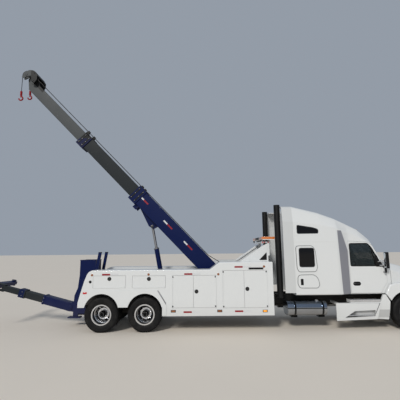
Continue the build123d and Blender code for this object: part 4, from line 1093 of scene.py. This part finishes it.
class TRUCK_OT_skirts(bpy.types.Operator):
    """Add the treads, the steps, the fairing trim, the tank caps and the tank buckles"""
    bl_idname = "truck.skirts"
    bl_label = "Steps and tanks"
    tread_rear, tread_front, tread_edge = 6.952, 7.863, -1.184
    tread_ribs, tread_rib_step = 12, 0.075
    nosing_heights = (0.840, 0.862, 0.884)
    step_ribs, step_rib_step = 10, 0.085
    recess = [(6.734, 0.375), (7.670, 0.420), (7.690, 0.598), (7.053, 0.574)]
    seam_line = ((7.672, 0.480), (7.755, 0.650), (7.832, 0.797))
    fairing_side = -1.199

    def execute(self, context):
        self.cab_tread()
        self.lower_step()
        trim = joined([box(at(6.500, -1.2045, 0.792), at(7.850, self.fairing_side, 0.806), 0.002, 1),
                       bead(self.recess, self.fairing_side, 0.006, 0.03)])
        on_both_sides(trim, "fairing_trim", TRUCK, "shade_white")
        seam = pipe([at(x, self.fairing_side - 0.001, z) for x, z in self.seam_line], 0.009)
        on_both_sides(seam, "fairing_seam", TRUCK, "seam_grey")
        cap = joined([rod(at(5.98, -0.96, 0.825), at(5.98, -0.99, 0.862), 0.052, 24, 0.004),
                      rod(at(5.98, -0.985, 0.855), at(5.98, -0.998, 0.872), 0.044, 12, 0.004)])
        on_both_sides(cap, "tank_cap", TRUCK, "chrome")
        buckles = [rod(at(x, -1.163, 0.60), at(x, -1.163, 0.68), 0.012, 12, 0.002) for x in TANK_STRAPS]
        on_both_sides(joined(buckles), "tank_straps", TRUCK, "satin_black")
        return {"FINISHED"}

    def cab_tread(self):
        """The ribbed plate above the fairing, with its nosing."""
        rear, front, edge = self.tread_rear, self.tread_front, self.tread_edge
        parts = [box(at(rear, edge, 0.898), at(front, -0.908, 0.904), 0.002, 1),
                 box(at(rear, edge, 0.822), at(front, edge + 0.005, 0.900), 0.002, 1)]
        for i in range(self.tread_ribs):
            x = 6.995 + i * self.tread_rib_step
            parts.append(box(at(x, -1.160, 0.903), at(x + 0.030, -0.935, 0.909), 0.002, 1))
        for z in self.nosing_heights:
            parts.append(rod(at(rear + 0.013, edge, z), at(front - 0.013, edge, z), 0.003, 8))
        on_both_sides(joined(parts), "cab_tread", TRUCK, "polished")

    def lower_step(self):
        """The step in the fairing's recess, with its ribs."""
        parts = [box(at(6.760, -1.192, 0.428), at(7.655, -1.102, 0.446), 0.004)]
        for i in range(self.step_ribs):
            x = 6.80 + i * self.step_rib_step
            parts.append(box(at(x, -1.185, 0.445), at(x + 0.04, -1.110, 0.451), 0.002, 1))
        on_both_sides(joined(parts), "lower_step", TRUCK, "polished")


class TRUCK_OT_lockers(bpy.types.Operator):
    """Add the latch rims and the hinge ends to the compartment doors"""
    bl_idname = "truck.lockers"
    bl_label = "Compartment doors"
    hinge_near, hinge_far = 0.007, 0.041
    hinge_height, hinge_margin = 0.042, 0.020

    def execute(self, context):
        radius = context.scene.truck_sizes.latch_radius
        for number in (3, 4):
            for place in ("rear", "front"):
                self.hinge_ends(number, place)
            self.latch(f"leaf_{number}_front", radius, f"leaf_latch_{number}")
        for number in (1, 2):
            self.latch(f"drop_door_{number}", radius, f"drop_latch_{number}")
        return {"FINISHED"}

    def hinge_ends(self, number, place):
        """The caps at the top and the bottom of a leaf's hinge."""
        low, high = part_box(f"leaf_{number}_{place}_right")
        start, end = low[0] + self.hinge_near, low[0] + self.hinge_far
        if place == "front":
            start, end = high[0] - self.hinge_far, high[0] - self.hinge_near
        heights = (low[2] + self.hinge_margin, high[2] - self.hinge_margin - self.hinge_height)
        outer, inner = -BODY_SIDE - 0.0115, -BODY_SIDE - 0.0004
        ends = [box((start, outer, z), (end, inner, z + self.hinge_height), 0.003, 1) for z in heights]
        bodies = pair(f"leaf_{number}_{place}_{{}}")
        on_both_sides(joined(ends), f"hinge_ends_{number}_{place}", bodies, "satin_black")

    def latch(self, door, radius, name):
        """The dished rim of a round latch."""
        x, z = latch_place(door)
        rim = lathe([(AXIS, -0.005), (radius * 0.7, -0.0055), (radius * 0.82, -0.0095), (radius, -0.0085),
                     (radius * 1.04, -0.001), (AXIS, -0.001)], (x, -BODY_SIDE, z), 32)
        on_both_sides(rim, name, pair(f"{door}_{{}}"), "satin_black")


class TRUCK_OT_body_lamps(bpy.types.Operator):
    """Add the marker lamps, tail lamps, reflectors, tapes and the filler"""
    bl_idname = "truck.body_lamps"
    bl_label = "Lamps and tapes"
    marker_places = ((-0.955, 1.711), (0.777, 1.717), (2.916, 1.707), (4.325, 1.927))
    low_places = (("brown_lens", 1.542, 0.628), ("brown_lens", 2.942, 0.625), ("amber_lit", 4.312, 0.613))
    tape_places = ((-0.649, 1.722), (1.870, 1.719), (3.418, 1.921), (-0.230, 1.129), (1.850, 0.599),
                   (3.400, 0.612))
    scene_lamp_places = (3.90, 3.99, 4.08, 4.17, 4.26)
    guard = [(1.030, 1.240), (1.088, 1.238), (1.319, 0.870), (1.337, 0.493), (1.250, 0.493), (1.235, 0.850)]
    tail_x, tail_height = -1.360, 0.825
    tail_places = {"red_lens": (1.215, 0.95), "amber": (1.085,)}

    def execute(self, context):
        sizes = context.scene.truck_sizes
        side = -BODY_SIDE
        lamps = [self.marker(x, z, sizes.lamp_radius) for x, z in self.marker_places]
        on_both_sides(joined(lamps), "marker_lamps", TRUCK, "brown_lens")
        for number, (finish, x, z) in enumerate(self.low_places, 1):
            lamp = box(at(x - 0.056, side - LAMP_DEPTH, z - 0.024), at(x + 0.056, side, z + 0.024), 0.008, 3)
            on_both_sides(lamp, f"low_lamp_{number}", TRUCK, finish)
            surround = box(at(x - 0.074, side - 0.007, z - 0.036), at(x + 0.074, side, z + 0.036), 0.007, 3)
            on_both_sides(surround, f"low_lamp_surround_{number}", TRUCK, "satin_black")
        self.tapes(sizes.tape_length, sizes.tape_height)
        lamps = [rod(at(x, side - 0.007, 1.871), at(x, side - 0.0115, 1.871), 0.016, 12)
                 for x in self.scene_lamp_places]
        housing = box(at(3.850, side - 0.009, 1.842), at(4.300, side, 1.900), 0.004, 2)
        on_both_sides(joined([housing, *lamps]), "scene_lamp", TRUCK, "satin_black")
        reflector = box(at(-1.212, side - LAMP_DEPTH, 1.148), at(-1.088, side, 1.202), 0.011, 4)
        on_both_sides(reflector, "side_reflector", TRUCK, "red_lens")
        guard = plate(placed(self.guard), side + 0.001, side - 0.004, 0.002)
        on_both_sides(guard, "splash_guard", TRUCK, "steel")
        filler = lathe([(AXIS, -LAMP_DEPTH), (0.026, -LAMP_DEPTH), (0.029, -0.008), (0.038, -0.007),
                        (0.043, -0.003), (0.043, 0), (AXIS, 0)], at(-1.001, side, 1.508), 24)
        on_both_sides(filler, "filler_cap", TRUCK, "satin_black")
        self.tail_lamps()
        return {"FINISHED"}

    def marker(self, x, z, radius):
        """A round domed lamp on the body's side."""
        return lathe([(AXIS, -LAMP_DEPTH), (radius * 0.6, -0.0115), (radius * 0.9, -0.008), (radius, -0.003),
                      (radius * 1.15, -0.002), (radius * 1.15, 0), (AXIS, 0)], at(x, -BODY_SIDE, z), 24)

    def tapes(self, length, height):
        """Red tapes, each with a white one in front of it."""
        for finish, shift in (("tape_red", 0), ("tape_white", length)):
            strips = [box(at(x + shift, -BODY_SIDE - 0.0015, z - height / 2),
                          at(x + shift + length, -BODY_SIDE + 0.001, z + height / 2), 0.0005, 1)
                      for x, z in self.tape_places]
            on_both_sides(joined(strips), f"{finish}s", TRUCK, finish)

    def tail_lamps(self):
        """Three round lamps on each side of the body's rear face, with their rims."""
        for finish, places in self.tail_places.items():
            lamps = [self.tail_disc(y, -0.016, 0.050, 0.006) for y in places]
            on_both_sides(joined(lamps), f"tail_{finish}", TRUCK, finish)
        rims = [self.tail_disc(y, -0.008, 0.060, 0.003)
                for places in self.tail_places.values() for y in places]
        on_both_sides(joined(rims), "tail_lamp_rims", TRUCK, "seal")

    def tail_disc(self, y, reach, radius, bevel):
        spot = at(self.tail_x, -y, self.tail_height)
        return rod(spot + Vector((0.002, 0, 0)), spot + Vector((reach, 0, 0)), radius, 24, bevel)


class TRUCK_OT_light_bar(bpy.types.Operator):
    """Glaze the light bar on the pylon and add the pylon's lamps, and a black sheet behind the pylon plate's
    hole as painted shade
    """
    bl_idname = "truck.light_bar"
    bl_label = "Light bar"
    bar_rear, bar_front = 4.3665, 4.7835
    bar_low, bar_high = 2.768, 2.8535
    beam_height = 2.677
    shade_sheet = [(4.235, 2.090), (4.545, 2.395), (4.545, 2.090)]

    def execute(self, context):
        for finish, outer, inner in (("amber", 0.902, 0.640), ("brown_lens", 0.634, 0.330)):
            on_both_sides(self.cover(-outer, -inner), f"light_bar_{finish}", TRUCK, finish)
        finished(self.cover(-0.326, 0.326), "light_bar_middle", "truck", "satin_black")
        for finish, places in (("red_lens", (4.41, 4.475, 4.595)), ("clear_lens", (4.535,))):
            lamps = [rod(at(x, -0.768, self.beam_height), at(x, -0.782, self.beam_height), 0.0225, 16, 0.003)
                     for x in places]
            on_both_sides(joined(lamps), f"beam_{finish}", TRUCK, finish)
        work = box(at(4.340, -0.70, 2.704), at(4.392, -0.58, 2.748), 0.008, 2)
        on_both_sides(work, "work_lamp", TRUCK, "satin_black")
        # A black sheet behind the triangular hole in the pylon's plate, painted shade seen through the hole
        shade_sheet = plate(placed(self.shade_sheet), -0.729, -0.722, 0.002)
        on_both_sides(shade_sheet, "pylon_backing", TRUCK, "satin_black")
        return {"FINISHED"}

    def cover(self, y0, y1):
        """One moulded cover of the light bar."""
        return box(at(self.bar_rear, y0, self.bar_low), at(self.bar_front, y1, self.bar_high), 0.014, 3)


class TRUCK_OT_ropes(bpy.types.Operator):
    """Lay the winch ropes along the boom, with their guides, drum turns and sheave arcs"""
    bl_idname = "truck.ropes"
    bl_label = "Winch ropes"
    line_start = 0.45
    arc_steps, arc_from, arc_sweep = 12, 90, 136
    drum_x, drum_height = 3.9, 1.37
    drum_turns, turn_step = 10, 0.023
    roller_height, lower_roller_height = 0.332, 0.268

    def execute(self, context):
        radius = context.scene.truck_sizes.rope_radius
        stages = (("boom_base", self.line_start, BASE_COLLAR[1]), ("boom_mid", BASE_COLLAR[1], MID_COLLAR[1]),
                  ("boom_tip", MID_COLLAR[1], SHEAVE[0]))
        for body, start, end in stages:
            run = rod((start, -ROPE_SIDE, ROPE_HEIGHT), (end, -ROPE_SIDE, ROPE_HEIGHT), radius, 12)
            on_both_sides(laid(run, BOOM), f"rope_{body}", (body, body), "rope")
        self.arcs(radius)
        self.guides()
        self.drum_rope()
        self.rises(radius)
        return {"FINISHED"}

    def arcs(self, radius):
        """The rope round each sheave, from the boom's line to the fall."""
        path = []
        fall = joint_place("hook_right_swing")
        centre = local(BOOM, SHEAVE[0], 0, SHEAVE[1])
        for i in range(self.arc_steps + 1):
            share = i / self.arc_steps
            turn = math.radians(self.arc_from - self.arc_sweep * share)
            reach = (ROPE_HEIGHT - SHEAVE[1]) * (1 - share ** 4) + (centre.x - fall.x) * share ** 4
            s, n = SHEAVE[0] + reach * math.cos(turn), SHEAVE[1] + reach * math.sin(turn)
            path.append(local(BOOM, s, -ROPE_SIDE, n))
        arc = pipe(path, radius, False, False, 2)
        on_both_sides(arc, "rope_arc", ("boom_tip", "boom_tip"), "rope")

    def guides(self):
        """A roller between two cheeks on each collar, and a lower one where the collar is low."""
        for body, (start, end, top) in (("boom_base", BASE_COLLAR), ("boom_mid", MID_COLLAR)):
            s = end - 0.09
            foot = top - 0.030
            outline = [(s - 0.07, foot), (s + 0.07, foot), (s + 0.035, 0.352), (s - 0.035, 0.352)]
            outer, inner = -ROPE_SIDE - 0.034, -ROPE_SIDE + 0.026
            parts = [plate(outline, y, y + 0.008, 0.002, 1) for y in (outer, inner)]
            parts.append(self.roller(s, self.roller_height, 0.014))
            if top < self.lower_roller_height:
                parts.append(self.roller(s, self.lower_roller_height, 0.024))
                parts.append(box((s - 0.07, outer, foot), (s + 0.07, -0.25, foot + 0.014), 0.002, 1))
            guide = laid(joined(parts), BOOM)
            on_both_sides(guide, f"rope_guide_{body}", (body, body), "head_dark")

    def roller(self, s, n, radius):
        return rod((s, -ROPE_SIDE - 0.030, n), (s, -ROPE_SIDE + 0.030, n), radius, 16)

    def drum_rope(self):
        """The turns of rope on each drum."""
        profile = [(0.14, -0.285)]
        for i in range(self.drum_turns):
            y = -0.275 + i * self.turn_step
            profile += [(0.150, y - 0.0112), (0.160, y - 0.008), (0.164, y), (0.160, y + 0.008)]
        profile += [(0.150, -0.05), (0.14, -0.045)]
        turns = lathe(profile, at(self.drum_x, 0, self.drum_height), 40)
        on_both_sides(turns, "rope_turns", TRUCK, "rope")

    def rises(self, radius):
        """The run from each drum up to the boom at rest, which no body carries."""
        start = at(self.drum_x - 0.04, -0.20, self.drum_height + 0.168)
        end = local(BOOM, self.line_start + 0.01, -ROPE_SIDE, ROPE_HEIGHT)
        line = [start.lerp(end, share) for share in (0, 0.25, 0.5, 0.75, 1)]
        for side, sign in SIDES.items():
            points = [Vector((p.x, -sign * p.y, p.z)) for p in line]
            run = pipe(points, radius, False, False, 2)
            finished(run, f"rope_up_{side}", None, "rope")
            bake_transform(run)


class TRUCK_OT_boom(bpy.types.Operator):
    """Add the tapes, wear pads, bolts, pins and rings to the boom and its cylinder"""
    bl_idname = "truck.boom"
    bl_label = "Boom details"
    # Each collar's body, its run, half its width and its lower edge
    collars = (("boom_base", BASE_COLLAR, 0.328, -0.2995), ("boom_mid", MID_COLLAR, 0.268, -0.277))
    tape_runs = {"tape_red": ((0.98, 1.22), (1.97, 2.21), (3.18, 3.40)),
                 "tape_white": ((1.22, 1.39), (2.21, 2.39), (3.40, 3.51))}
    tape_line = 0.035
    # The head's pins: along the boom, across it and radius
    head_pins = ((SHEAVE[0], SHEAVE[1], 0.052), (9.54, 0.13, 0.044), (9.72, 0.395, 0.022))
    pin_bolts, pin_bolt_circle = 4, 0.06
    rod_eye = (2.55, -0.40)
    barrel_rings = ((1.005, 1.060, 0.109), (0.55, 0.58, 0.106), (0.18, 0.22, 0.107))
    pipe_line = ((0.16, 0.098), (0.20, 0.118), (0.40, 0.120), (0.75, 0.120), (0.93, 0.119), (0.98, 0.104))

    def execute(self, context):
        self.tapes(context.scene.truck_sizes.tape_height)
        for body, (start, end, top), half, low in self.collars:
            self.collar(body, start, end, half, low, top)
        self.head()
        self.pins()
        self.cylinder()
        return {"FINISHED"}

    def tapes(self, height):
        """Red and white tapes along the base's side."""
        low, high = self.tape_line - height / 2, self.tape_line + height / 2
        for finish, runs in self.tape_runs.items():
            strips = [box((start, -0.3015, low), (end, -0.2995, high), 0.0005, 1) for start, end in runs]
            name = f"boom_{finish}s"
            on_both_sides(laid(joined(strips), BOOM), name, ("boom_base", "boom_base"), finish)

    def collar(self, body, start, end, half, low, top):
        """Wear pad plates with their bolts on a collar's sides."""
        pads, bolts = [], []
        for s in (start + 0.06, end - 0.10):
            pads.append(box((s, -half - 0.008, low + 0.06), (s + 0.05, -half + 0.002, top - 0.05), 0.003, 1))
            for n in (low + 0.10, (low + top) / 2, top - 0.09):
                middle = s + 0.025
                bolts.append(rod((middle, -half - 0.006, n), (middle, -half - 0.019, n), 0.012, 6, 0.002))
        bodies = (body, body)
        on_both_sides(laid(joined(pads), BOOM), f"collar_pads_{body}", bodies, "head_dark")
        on_both_sides(laid(joined(bolts), BOOM), f"collar_bolts_{body}", bodies, "steel")

    def head(self):
        """Pin covers and the rope keeper of the boom's head."""
        parts = [rod((s, -0.345, n), (s, -0.3565, n), radius, 24, 0.003) for s, n, radius in self.head_pins]
        parts.append(rod((9.935, -0.345, 0.05), (9.935, -0.205, 0.05), 0.011, 12))
        pins = laid(joined(parts), BOOM)
        on_both_sides(pins, "head_pins", ("boom_tip", "boom_tip"), "tip_grey")

    def pins(self):
        """The end plates of the boom's pivot pin and of the rod's eye."""
        spot = joint_place("boom_lift")
        parts = [rod(spot + Vector((0, -0.358, 0)), spot + Vector((0, -0.374, 0)), 0.085, 28, 0.004)]
        for i in range(self.pin_bolts):
            turn = math.pi / 4 + i * 2 * math.pi / self.pin_bolts
            across, up = self.pin_bolt_circle * math.cos(turn), self.pin_bolt_circle * math.sin(turn)
            bolt = spot + Vector((across, -0.372, up))
            parts.append(rod(bolt, bolt + Vector((0, -0.010, 0)), 0.010, 6, 0.001))
        on_both_sides(joined(parts), "boom_pin_plates", TRUCK, "dark_steel")
        s, n = self.rod_eye
        eye = laid(rod((s, -0.098, n), (s, -0.112, n), 0.055, 24, 0.003), BOOM)
        on_both_sides(eye, "rod_eye_plates", ("boom_base", "boom_base"), "dark_steel")

    def cylinder(self):
        """Rings on the barrel, the sleeve's gland, and the pipe along the barrel."""
        rings = joined([self.ring(start, end, 0.095, outer) for start, end, outer in self.barrel_rings])
        finished(laid(rings, CYLINDER), "barrel_rings", "lift_barrel", "navy")
        gland = self.ring(1.772, 1.812, 0.047, 0.089)
        finished(laid(gland, CYLINDER), "sleeve_gland", "lift_sleeve", "steel")
        line = pipe([Vector((s, 0, n)) for s, n in self.pipe_line], 0.011)
        finished(laid(line, CYLINDER), "barrel_pipe", "lift_barrel", "dark_steel")

    def ring(self, start, end, inner, outer):
        """An open ring along X."""
        made = lathe([(inner, start), (outer - 0.003, start), (outer, start + 0.004), (outer, end - 0.004),
                      (outer - 0.003, end), (inner, end)])
        apply_place(made, Matrix.Rotation(math.radians(-90), 4, "Z"))
        return made


class TRUCK_OT_tail(bpy.types.Operator):
    """Add the pins, collars, bolts, pads and caps of the mast and the underlift"""
    bl_idname = "truck.tail"
    bl_label = "Mast and underlift"
    arm_bolts = (("underlift_base", 0.965, 0.160), ("underlift_stage", 1.75, 0.142))
    swivel = 2.76
    receiver_side, receiver_collars = -1.04, (-0.088, 0.088)
    collar_profile = [(0.040, -0.010), (0.078, -0.010), (0.082, -0.004), (0.082, 0.004), (0.078, 0.010),
                      (0.040, 0.010)]
    foot_bolts = [(x, y) for x in (-1.95, -1.65) for y in (0.22, 0.34)]

    def execute(self, context):
        spot = joint_place("underlift_tilt")
        ends = joined([rod(spot + Vector((0, -0.208, 0)), spot + Vector((0, -0.222, 0)), 0.072, 28, 0.003),
                       rod(spot + Vector((0, -0.220, 0)), spot + Vector((0, -0.232, 0)), 0.016, 6, 0.002)])
        on_both_sides(ends, "arm_pin_plates", TRUCK, "navy")
        collar = cut_out(box((0.93, -0.160, -0.150), (1.0, 0.160, 0.150), 0.008, 2),
                         box((0.90, -0.131, -0.121), (1.1, 0.131, 0.121)))
        finished(laid(collar, ARM), "arm_collar", "underlift_base", "navy")
        for body, s, half in self.arm_bolts:
            bolts = [rod((s, -half, n), (s, -half - 0.012, n), 0.014, 6, 0.002) for n in (-0.06, 0.06)]
            on_both_sides(laid(joined(bolts), ARM), f"arm_bolts_{body}", (body, body), "steel")
        cap = joined([rod((self.swivel, 0, 0.114), (self.swivel, 0, 0.124), 0.060, 28, 0.003),
                      rod((self.swivel, 0, 0.122), (self.swivel, 0, 0.132), 0.020, 6, 0.002)])
        finished(laid(cap, ARM), "swivel_cap", "underlift_toe", "dark_steel")
        self.receivers()
        self.mast()
        return {"FINISHED"}

    def receivers(self):
        """Collars and locking pins of the crossbar's upright receivers."""
        ring = lathe(self.collar_profile, steps=32)
        turned = Matrix.Rotation(math.radians(90), 4, "X")
        parts = [copied(ring, Matrix.Translation((self.swivel, self.receiver_side, n)) @ turned)
                 for n in self.receiver_collars]
        parts.append(rod((2.85, self.receiver_side, 0), (2.83, self.receiver_side, 0), 0.018, 16, 0.003))
        bpy.data.objects.remove(ring)
        collars = laid(joined(parts), ARM)
        on_both_sides(collars, "receiver_collars", ("crossbar", "crossbar"), "dark_steel")

    def mast(self):
        """Foot bolts, pads, the caps of the rest posts and the mast's lips."""
        feet = [rod(at(x, -y, 0.308), at(x, -y, 0.322), 0.016, 6, 0.002) for x, y in self.foot_bolts]
        on_both_sides(joined(feet), "foot_bolts", TRUCK, "steel")
        pad = box(at(-1.988, -0.372, 0.2705), at(-1.612, -0.188, 0.2745), 0.001, 1)
        on_both_sides(pad, "foot_pads", TRUCK, "seal")
        cap = box(at(-1.064, -0.404, 2.385), at(-0.956, -0.346, 2.404), 0.004, 1)
        on_both_sides(cap, "post_caps", TRUCK, "seal")
        lip = box(at(-1.705, -0.304, 2.120), at(-1.160, -0.236, 2.1485), 0.006, 2)
        on_both_sides(lip, "mast_lips", TRUCK, "navy")


class TRUCK_OT_nose(bpy.types.Operator):
    """Add the lamps, the grille's frame and bars, and the bumper's slots"""
    bl_idname = "truck.nose"
    bl_label = "Nose"
    bar_count, first_bar, bar_step = 9, 0.968, 0.050
    slot_heights = (0.545, 0.600, 0.655)
    slot_runs = ((-0.56, -0.06), (0.06, 0.56))

    def execute(self, context):
        hoods = ("hood", "hood")
        headlamp = box(at(9.745, -1.008, 0.965), at(9.7665, -0.724, 1.146), 0.020, 3)
        on_both_sides(headlamp, "headlamp_lens", hoods, "clear_lens")
        turn_lamp = box(at(9.700, -1.013, 1.010), at(9.7645, -0.965, 1.110), 0.010, 2)
        on_both_sides(turn_lamp, "turn_lamp", hoods, "amber")
        surround = cut_out(box(at(9.822, -0.405, 0.895), at(9.838, 0.405, 1.455), 0.006, 2),
                           box(at(9.80, -0.368, 0.932), at(9.85, 0.368, 1.418)))
        finished(surround, "grille_surround", "hood", "chrome")
        heights = [self.first_bar + i * self.bar_step for i in range(self.bar_count)]
        bars = [box(at(9.8215, -0.368, z), at(9.8275, 0.368, z + 0.010), 0.002, 1) for z in heights]
        finished(joined(bars), "grille_bars", "hood", "chrome")
        slots = [box(at(9.990, y0, z), at(9.9998, y1, z + 0.032), 0.004, 1)
                 for z in self.slot_heights for y0, y1 in self.slot_runs]
        finished(joined(slots), "bumper_slots", "truck", "satin_black")
        fog_lamp = rod(at(9.935, -0.800, 0.580), at(9.968, -0.810, 0.580), 0.052, 24, 0.008)
        on_both_sides(fog_lamp, "fog_lamp", TRUCK, "clear_lens")
        side_lamp = box(at(9.05, -1.158, 1.190), at(9.17, -1.146, 1.230), 0.006, 2)
        on_both_sides(side_lamp, "fender_lamp", hoods, "amber")
        return {"FINISHED"}


class TRUCK_OT_interior(bpy.types.Operator):
    """Furnish the cab with seats, dashboard, steering wheel and bunk"""
    bl_idname = "truck.interior"
    bl_label = "Cab interior"
    floor_z = 1.095
    seat_side = 0.52
    dash_outline = [(8.255, floor_z + 0.02), (8.255, 1.79), (8.07, 1.79), (7.975, 1.64), (8.06, 1.40),
                    (8.15, floor_z + 0.02)]
    dash_half = 0.95
    wheel_place, wheel_radius = (7.85, 0.52, 1.807), 0.21
    wheel_lean = (-0.24, 0, 0.16)
    spoke_turns = (0.3, 2.84, 4.71)

    def execute(self, context):
        for name, sign in (("right", -1), ("left", 1)):
            self.seat(name, sign * self.seat_side)
        dash = plate(rounded(placed(self.dash_outline), 0.03), -self.dash_half, self.dash_half, 0.01)
        finished(dash, "dashboard", "truck", "trim")
        self.steering()
        self.bunk()
        return {"FINISHED"}

    def seat(self, name, y):
        """A seat's base, and its padded cushion and back."""
        floor_z = self.floor_z
        base = box(at(7.22, y - 0.20, floor_z), at(7.62, y + 0.20, floor_z + 0.26), 0.02, 2)
        finished(base, f"seat_base_{name}", "truck", "trim")
        low, high = at(7.19, y - 0.25, floor_z + 0.27), at(7.69, y + 0.25, floor_z + 0.45)
        cushion = self.cushion(low, high, (0, 0, 1))
        low, high = at(7.145, y - 0.235, floor_z + 0.45), at(7.265, y + 0.235, floor_z + 1.15)
        back = self.cushion(low, high, (1, 0, 0))
        seat = finished(joined([cushion, back]), f"seat_{name}", "truck", "seat")

    def bunk(self):
        """The mattress and the chest under it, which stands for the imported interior."""
        floor_z = self.floor_z
        mattress = self.cushion(at(5.36, -1.08, floor_z + 0.40), at(6.13, 1.08, floor_z + 0.555), (0, 0, 1))
        finished(mattress, "mattress", "truck", "seat")
        chest = box(at(5.36, -1.09, floor_z), at(6.14, 1.09, floor_z + 0.41), 0.015)
        finished(chest, "bunk_chest", "truck", "trim_grey")
        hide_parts("cab_interior")

    def cushion(self, low, high, up):
        """A crowned pad with drawn-in sides, fullest along up."""
        piece = box(low, high)
        edit(piece, lambda: bpy.ops.mesh.subdivide(number_cuts=5))
        centre = (low + high) / 2
        half = (high - low) / 2
        flat = [i for i in range(3) if not up[i]]
        for vertex in piece.data.vertices:
            share = [(vertex.co[i] - centre[i]) / half[i] for i in range(3)]
            crown = (1 - share[flat[0]] ** 4) * (1 - share[flat[1]] ** 4)
            for i in range(3):
                scale = 0.72 + 0.28 * crown if up[i] else 1 - 0.05 * abs(share[i]) ** 3 * (1 - crown)
                vertex.co[i] = centre[i] + share[i] * half[i] * scale
        apply_modifier(piece, "SUBSURF", levels=2, render_levels=2)
        return piece

    def steering(self):
        """The steering wheel with its spokes, boss and column, leaning to the driver."""
        lean = Vector(self.wheel_lean).to_track_quat("Z", "Y").to_matrix().to_4x4()
        deselect()
        bpy.ops.mesh.primitive_torus_add(major_radius=self.wheel_radius, minor_radius=0.015,
                                         major_segments=40, minor_segments=10)
        rim = bpy.context.object
        spokes = [rod((0, 0, 0), (0.2 * math.cos(turn), 0.2 * math.sin(turn), 0), 0.012, 10)
                  for turn in self.spoke_turns]
        boss = rod((0, 0, -0.02), (0, 0, 0.025), 0.055, 24, 0.008)
        column = rod((0, 0, -0.28), (0, 0, 0), 0.03, 16)
        whole = joined([rim, *spokes, boss, column])
        apply_place(whole, Matrix.Translation(at(*self.wheel_place)) @ lean)
        finished(whole, "steering_wheel", "truck", "satin_black")


class TRUCK_OT_stage(bpy.types.Operator):
    """Add the floor, the lights and the camera"""
    bl_idname = "truck.stage"
    bl_label = "Stage"
    floor_size = 400
    sky_colour, sky_strength = (0.70, 0.79, 0.92, 1), 0.42
    sun_turn, sun_energy, sun_spread, sun_colour = (56, 0, -24), 1.95, 12, (1, 0.97, 0.92)
    soft_place, soft_tilt, soft_energy, soft_size = (0, -22, 12), 66, 400, 16
    sensor_width, focal_length = 36, 28.8
    camera_place, camera_tilt, camera_roll = (2.375, -11.33, 2.445), 8.88, -0.5

    def execute(self, context):
        deselect()
        bpy.ops.mesh.primitive_plane_add(size=self.floor_size, location=(0, 0, 0))
        floor = bpy.context.object
        floor.name = "floor"
        floor.data.materials.append(FINISHES["floor"])
        self.add_sky(context)
        self.add_lights()
        self.add_camera(context)
        context.scene.view_settings.view_transform = "Standard"
        return {"FINISHED"}

    def add_sky(self, context):
        world = bpy.data.worlds.new("studio")
        context.scene.world = world
        world.use_nodes = True
        back = world.node_tree.nodes["Background"]
        back.inputs["Color"].default_value = self.sky_colour
        back.inputs["Strength"].default_value = self.sky_strength

    def add_lights(self):
        """A wide sun and a large soft light behind the camera."""
        bpy.ops.object.light_add(type="SUN", rotation=[math.radians(angle) for angle in self.sun_turn])
        sun = bpy.context.object.data
        sun.energy = self.sun_energy
        sun.angle = math.radians(self.sun_spread)
        sun.color = self.sun_colour
        tilt = (math.radians(self.soft_tilt), 0, 0)
        bpy.ops.object.light_add(type="AREA", location=self.soft_place, rotation=tilt)
        soft = bpy.context.object.data
        soft.energy = self.soft_energy
        soft.size = self.soft_size

    def add_camera(self, context):
        data = bpy.data.cameras.new("camera")
        data.sensor_width = self.sensor_width
        data.lens = self.focal_length
        data.clip_end = 1000
        camera = bpy.data.objects.new("camera", data)
        context.collection.objects.link(camera)
        turn = Matrix.Rotation(math.radians(90 + self.camera_tilt), 4, "X")
        roll = Matrix.Rotation(math.radians(self.camera_roll), 4, "Z")
        camera.matrix_world = Matrix.Translation(at(*self.camera_place)) @ turn @ roll
        context.scene.camera = camera


OPERATORS = (TRUCK_OT_finishes, TRUCK_OT_tyres, TRUCK_OT_wheel_nuts, TRUCK_OT_cab_glass, TRUCK_OT_sleeper,
             TRUCK_OT_skirts, TRUCK_OT_lockers, TRUCK_OT_body_lamps, TRUCK_OT_light_bar, TRUCK_OT_ropes,
             TRUCK_OT_boom, TRUCK_OT_tail, TRUCK_OT_nose, TRUCK_OT_interior, TRUCK_OT_stage)


class TRUCK_PT_panel(bpy.types.Panel):
    """Lists the sizes, the colours and the steps that build the looks"""
    bl_idname = "TRUCK_PT_panel"
    bl_label = "Recovery Truck"
    bl_space_type = "VIEW_3D"
    bl_region_type = "UI"
    bl_category = "Recovery Truck"

    def draw(self, context):
        for group in (context.scene.truck_sizes, context.scene.truck_colours):
            for name in group.bl_rna.properties.keys():
                if name not in ("rna_type", "name"):
                    self.layout.prop(group, name)
        for operator in OPERATORS:
            self.layout.operator(operator.bl_idname)


def register():
    for kind in (TruckSizes, TruckColours, *OPERATORS, TRUCK_PT_panel):
        bpy.utils.register_class(kind)
    bpy.types.Scene.truck_sizes = bpy.props.PointerProperty(type=TruckSizes)
    bpy.types.Scene.truck_colours = bpy.props.PointerProperty(type=TruckColours)


def unregister():
    del bpy.types.Scene.truck_colours
    del bpy.types.Scene.truck_sizes
    for kind in reversed((TruckSizes, TruckColours, *OPERATORS, TRUCK_PT_panel)):
        bpy.utils.unregister_class(kind)


def main():
    """Builds everything in order."""
    register()
    for operator in OPERATORS:
        group, name = operator.bl_idname.split(".")
        getattr(getattr(bpy.ops, group), name)()


if __name__ == "__main__":
    main()
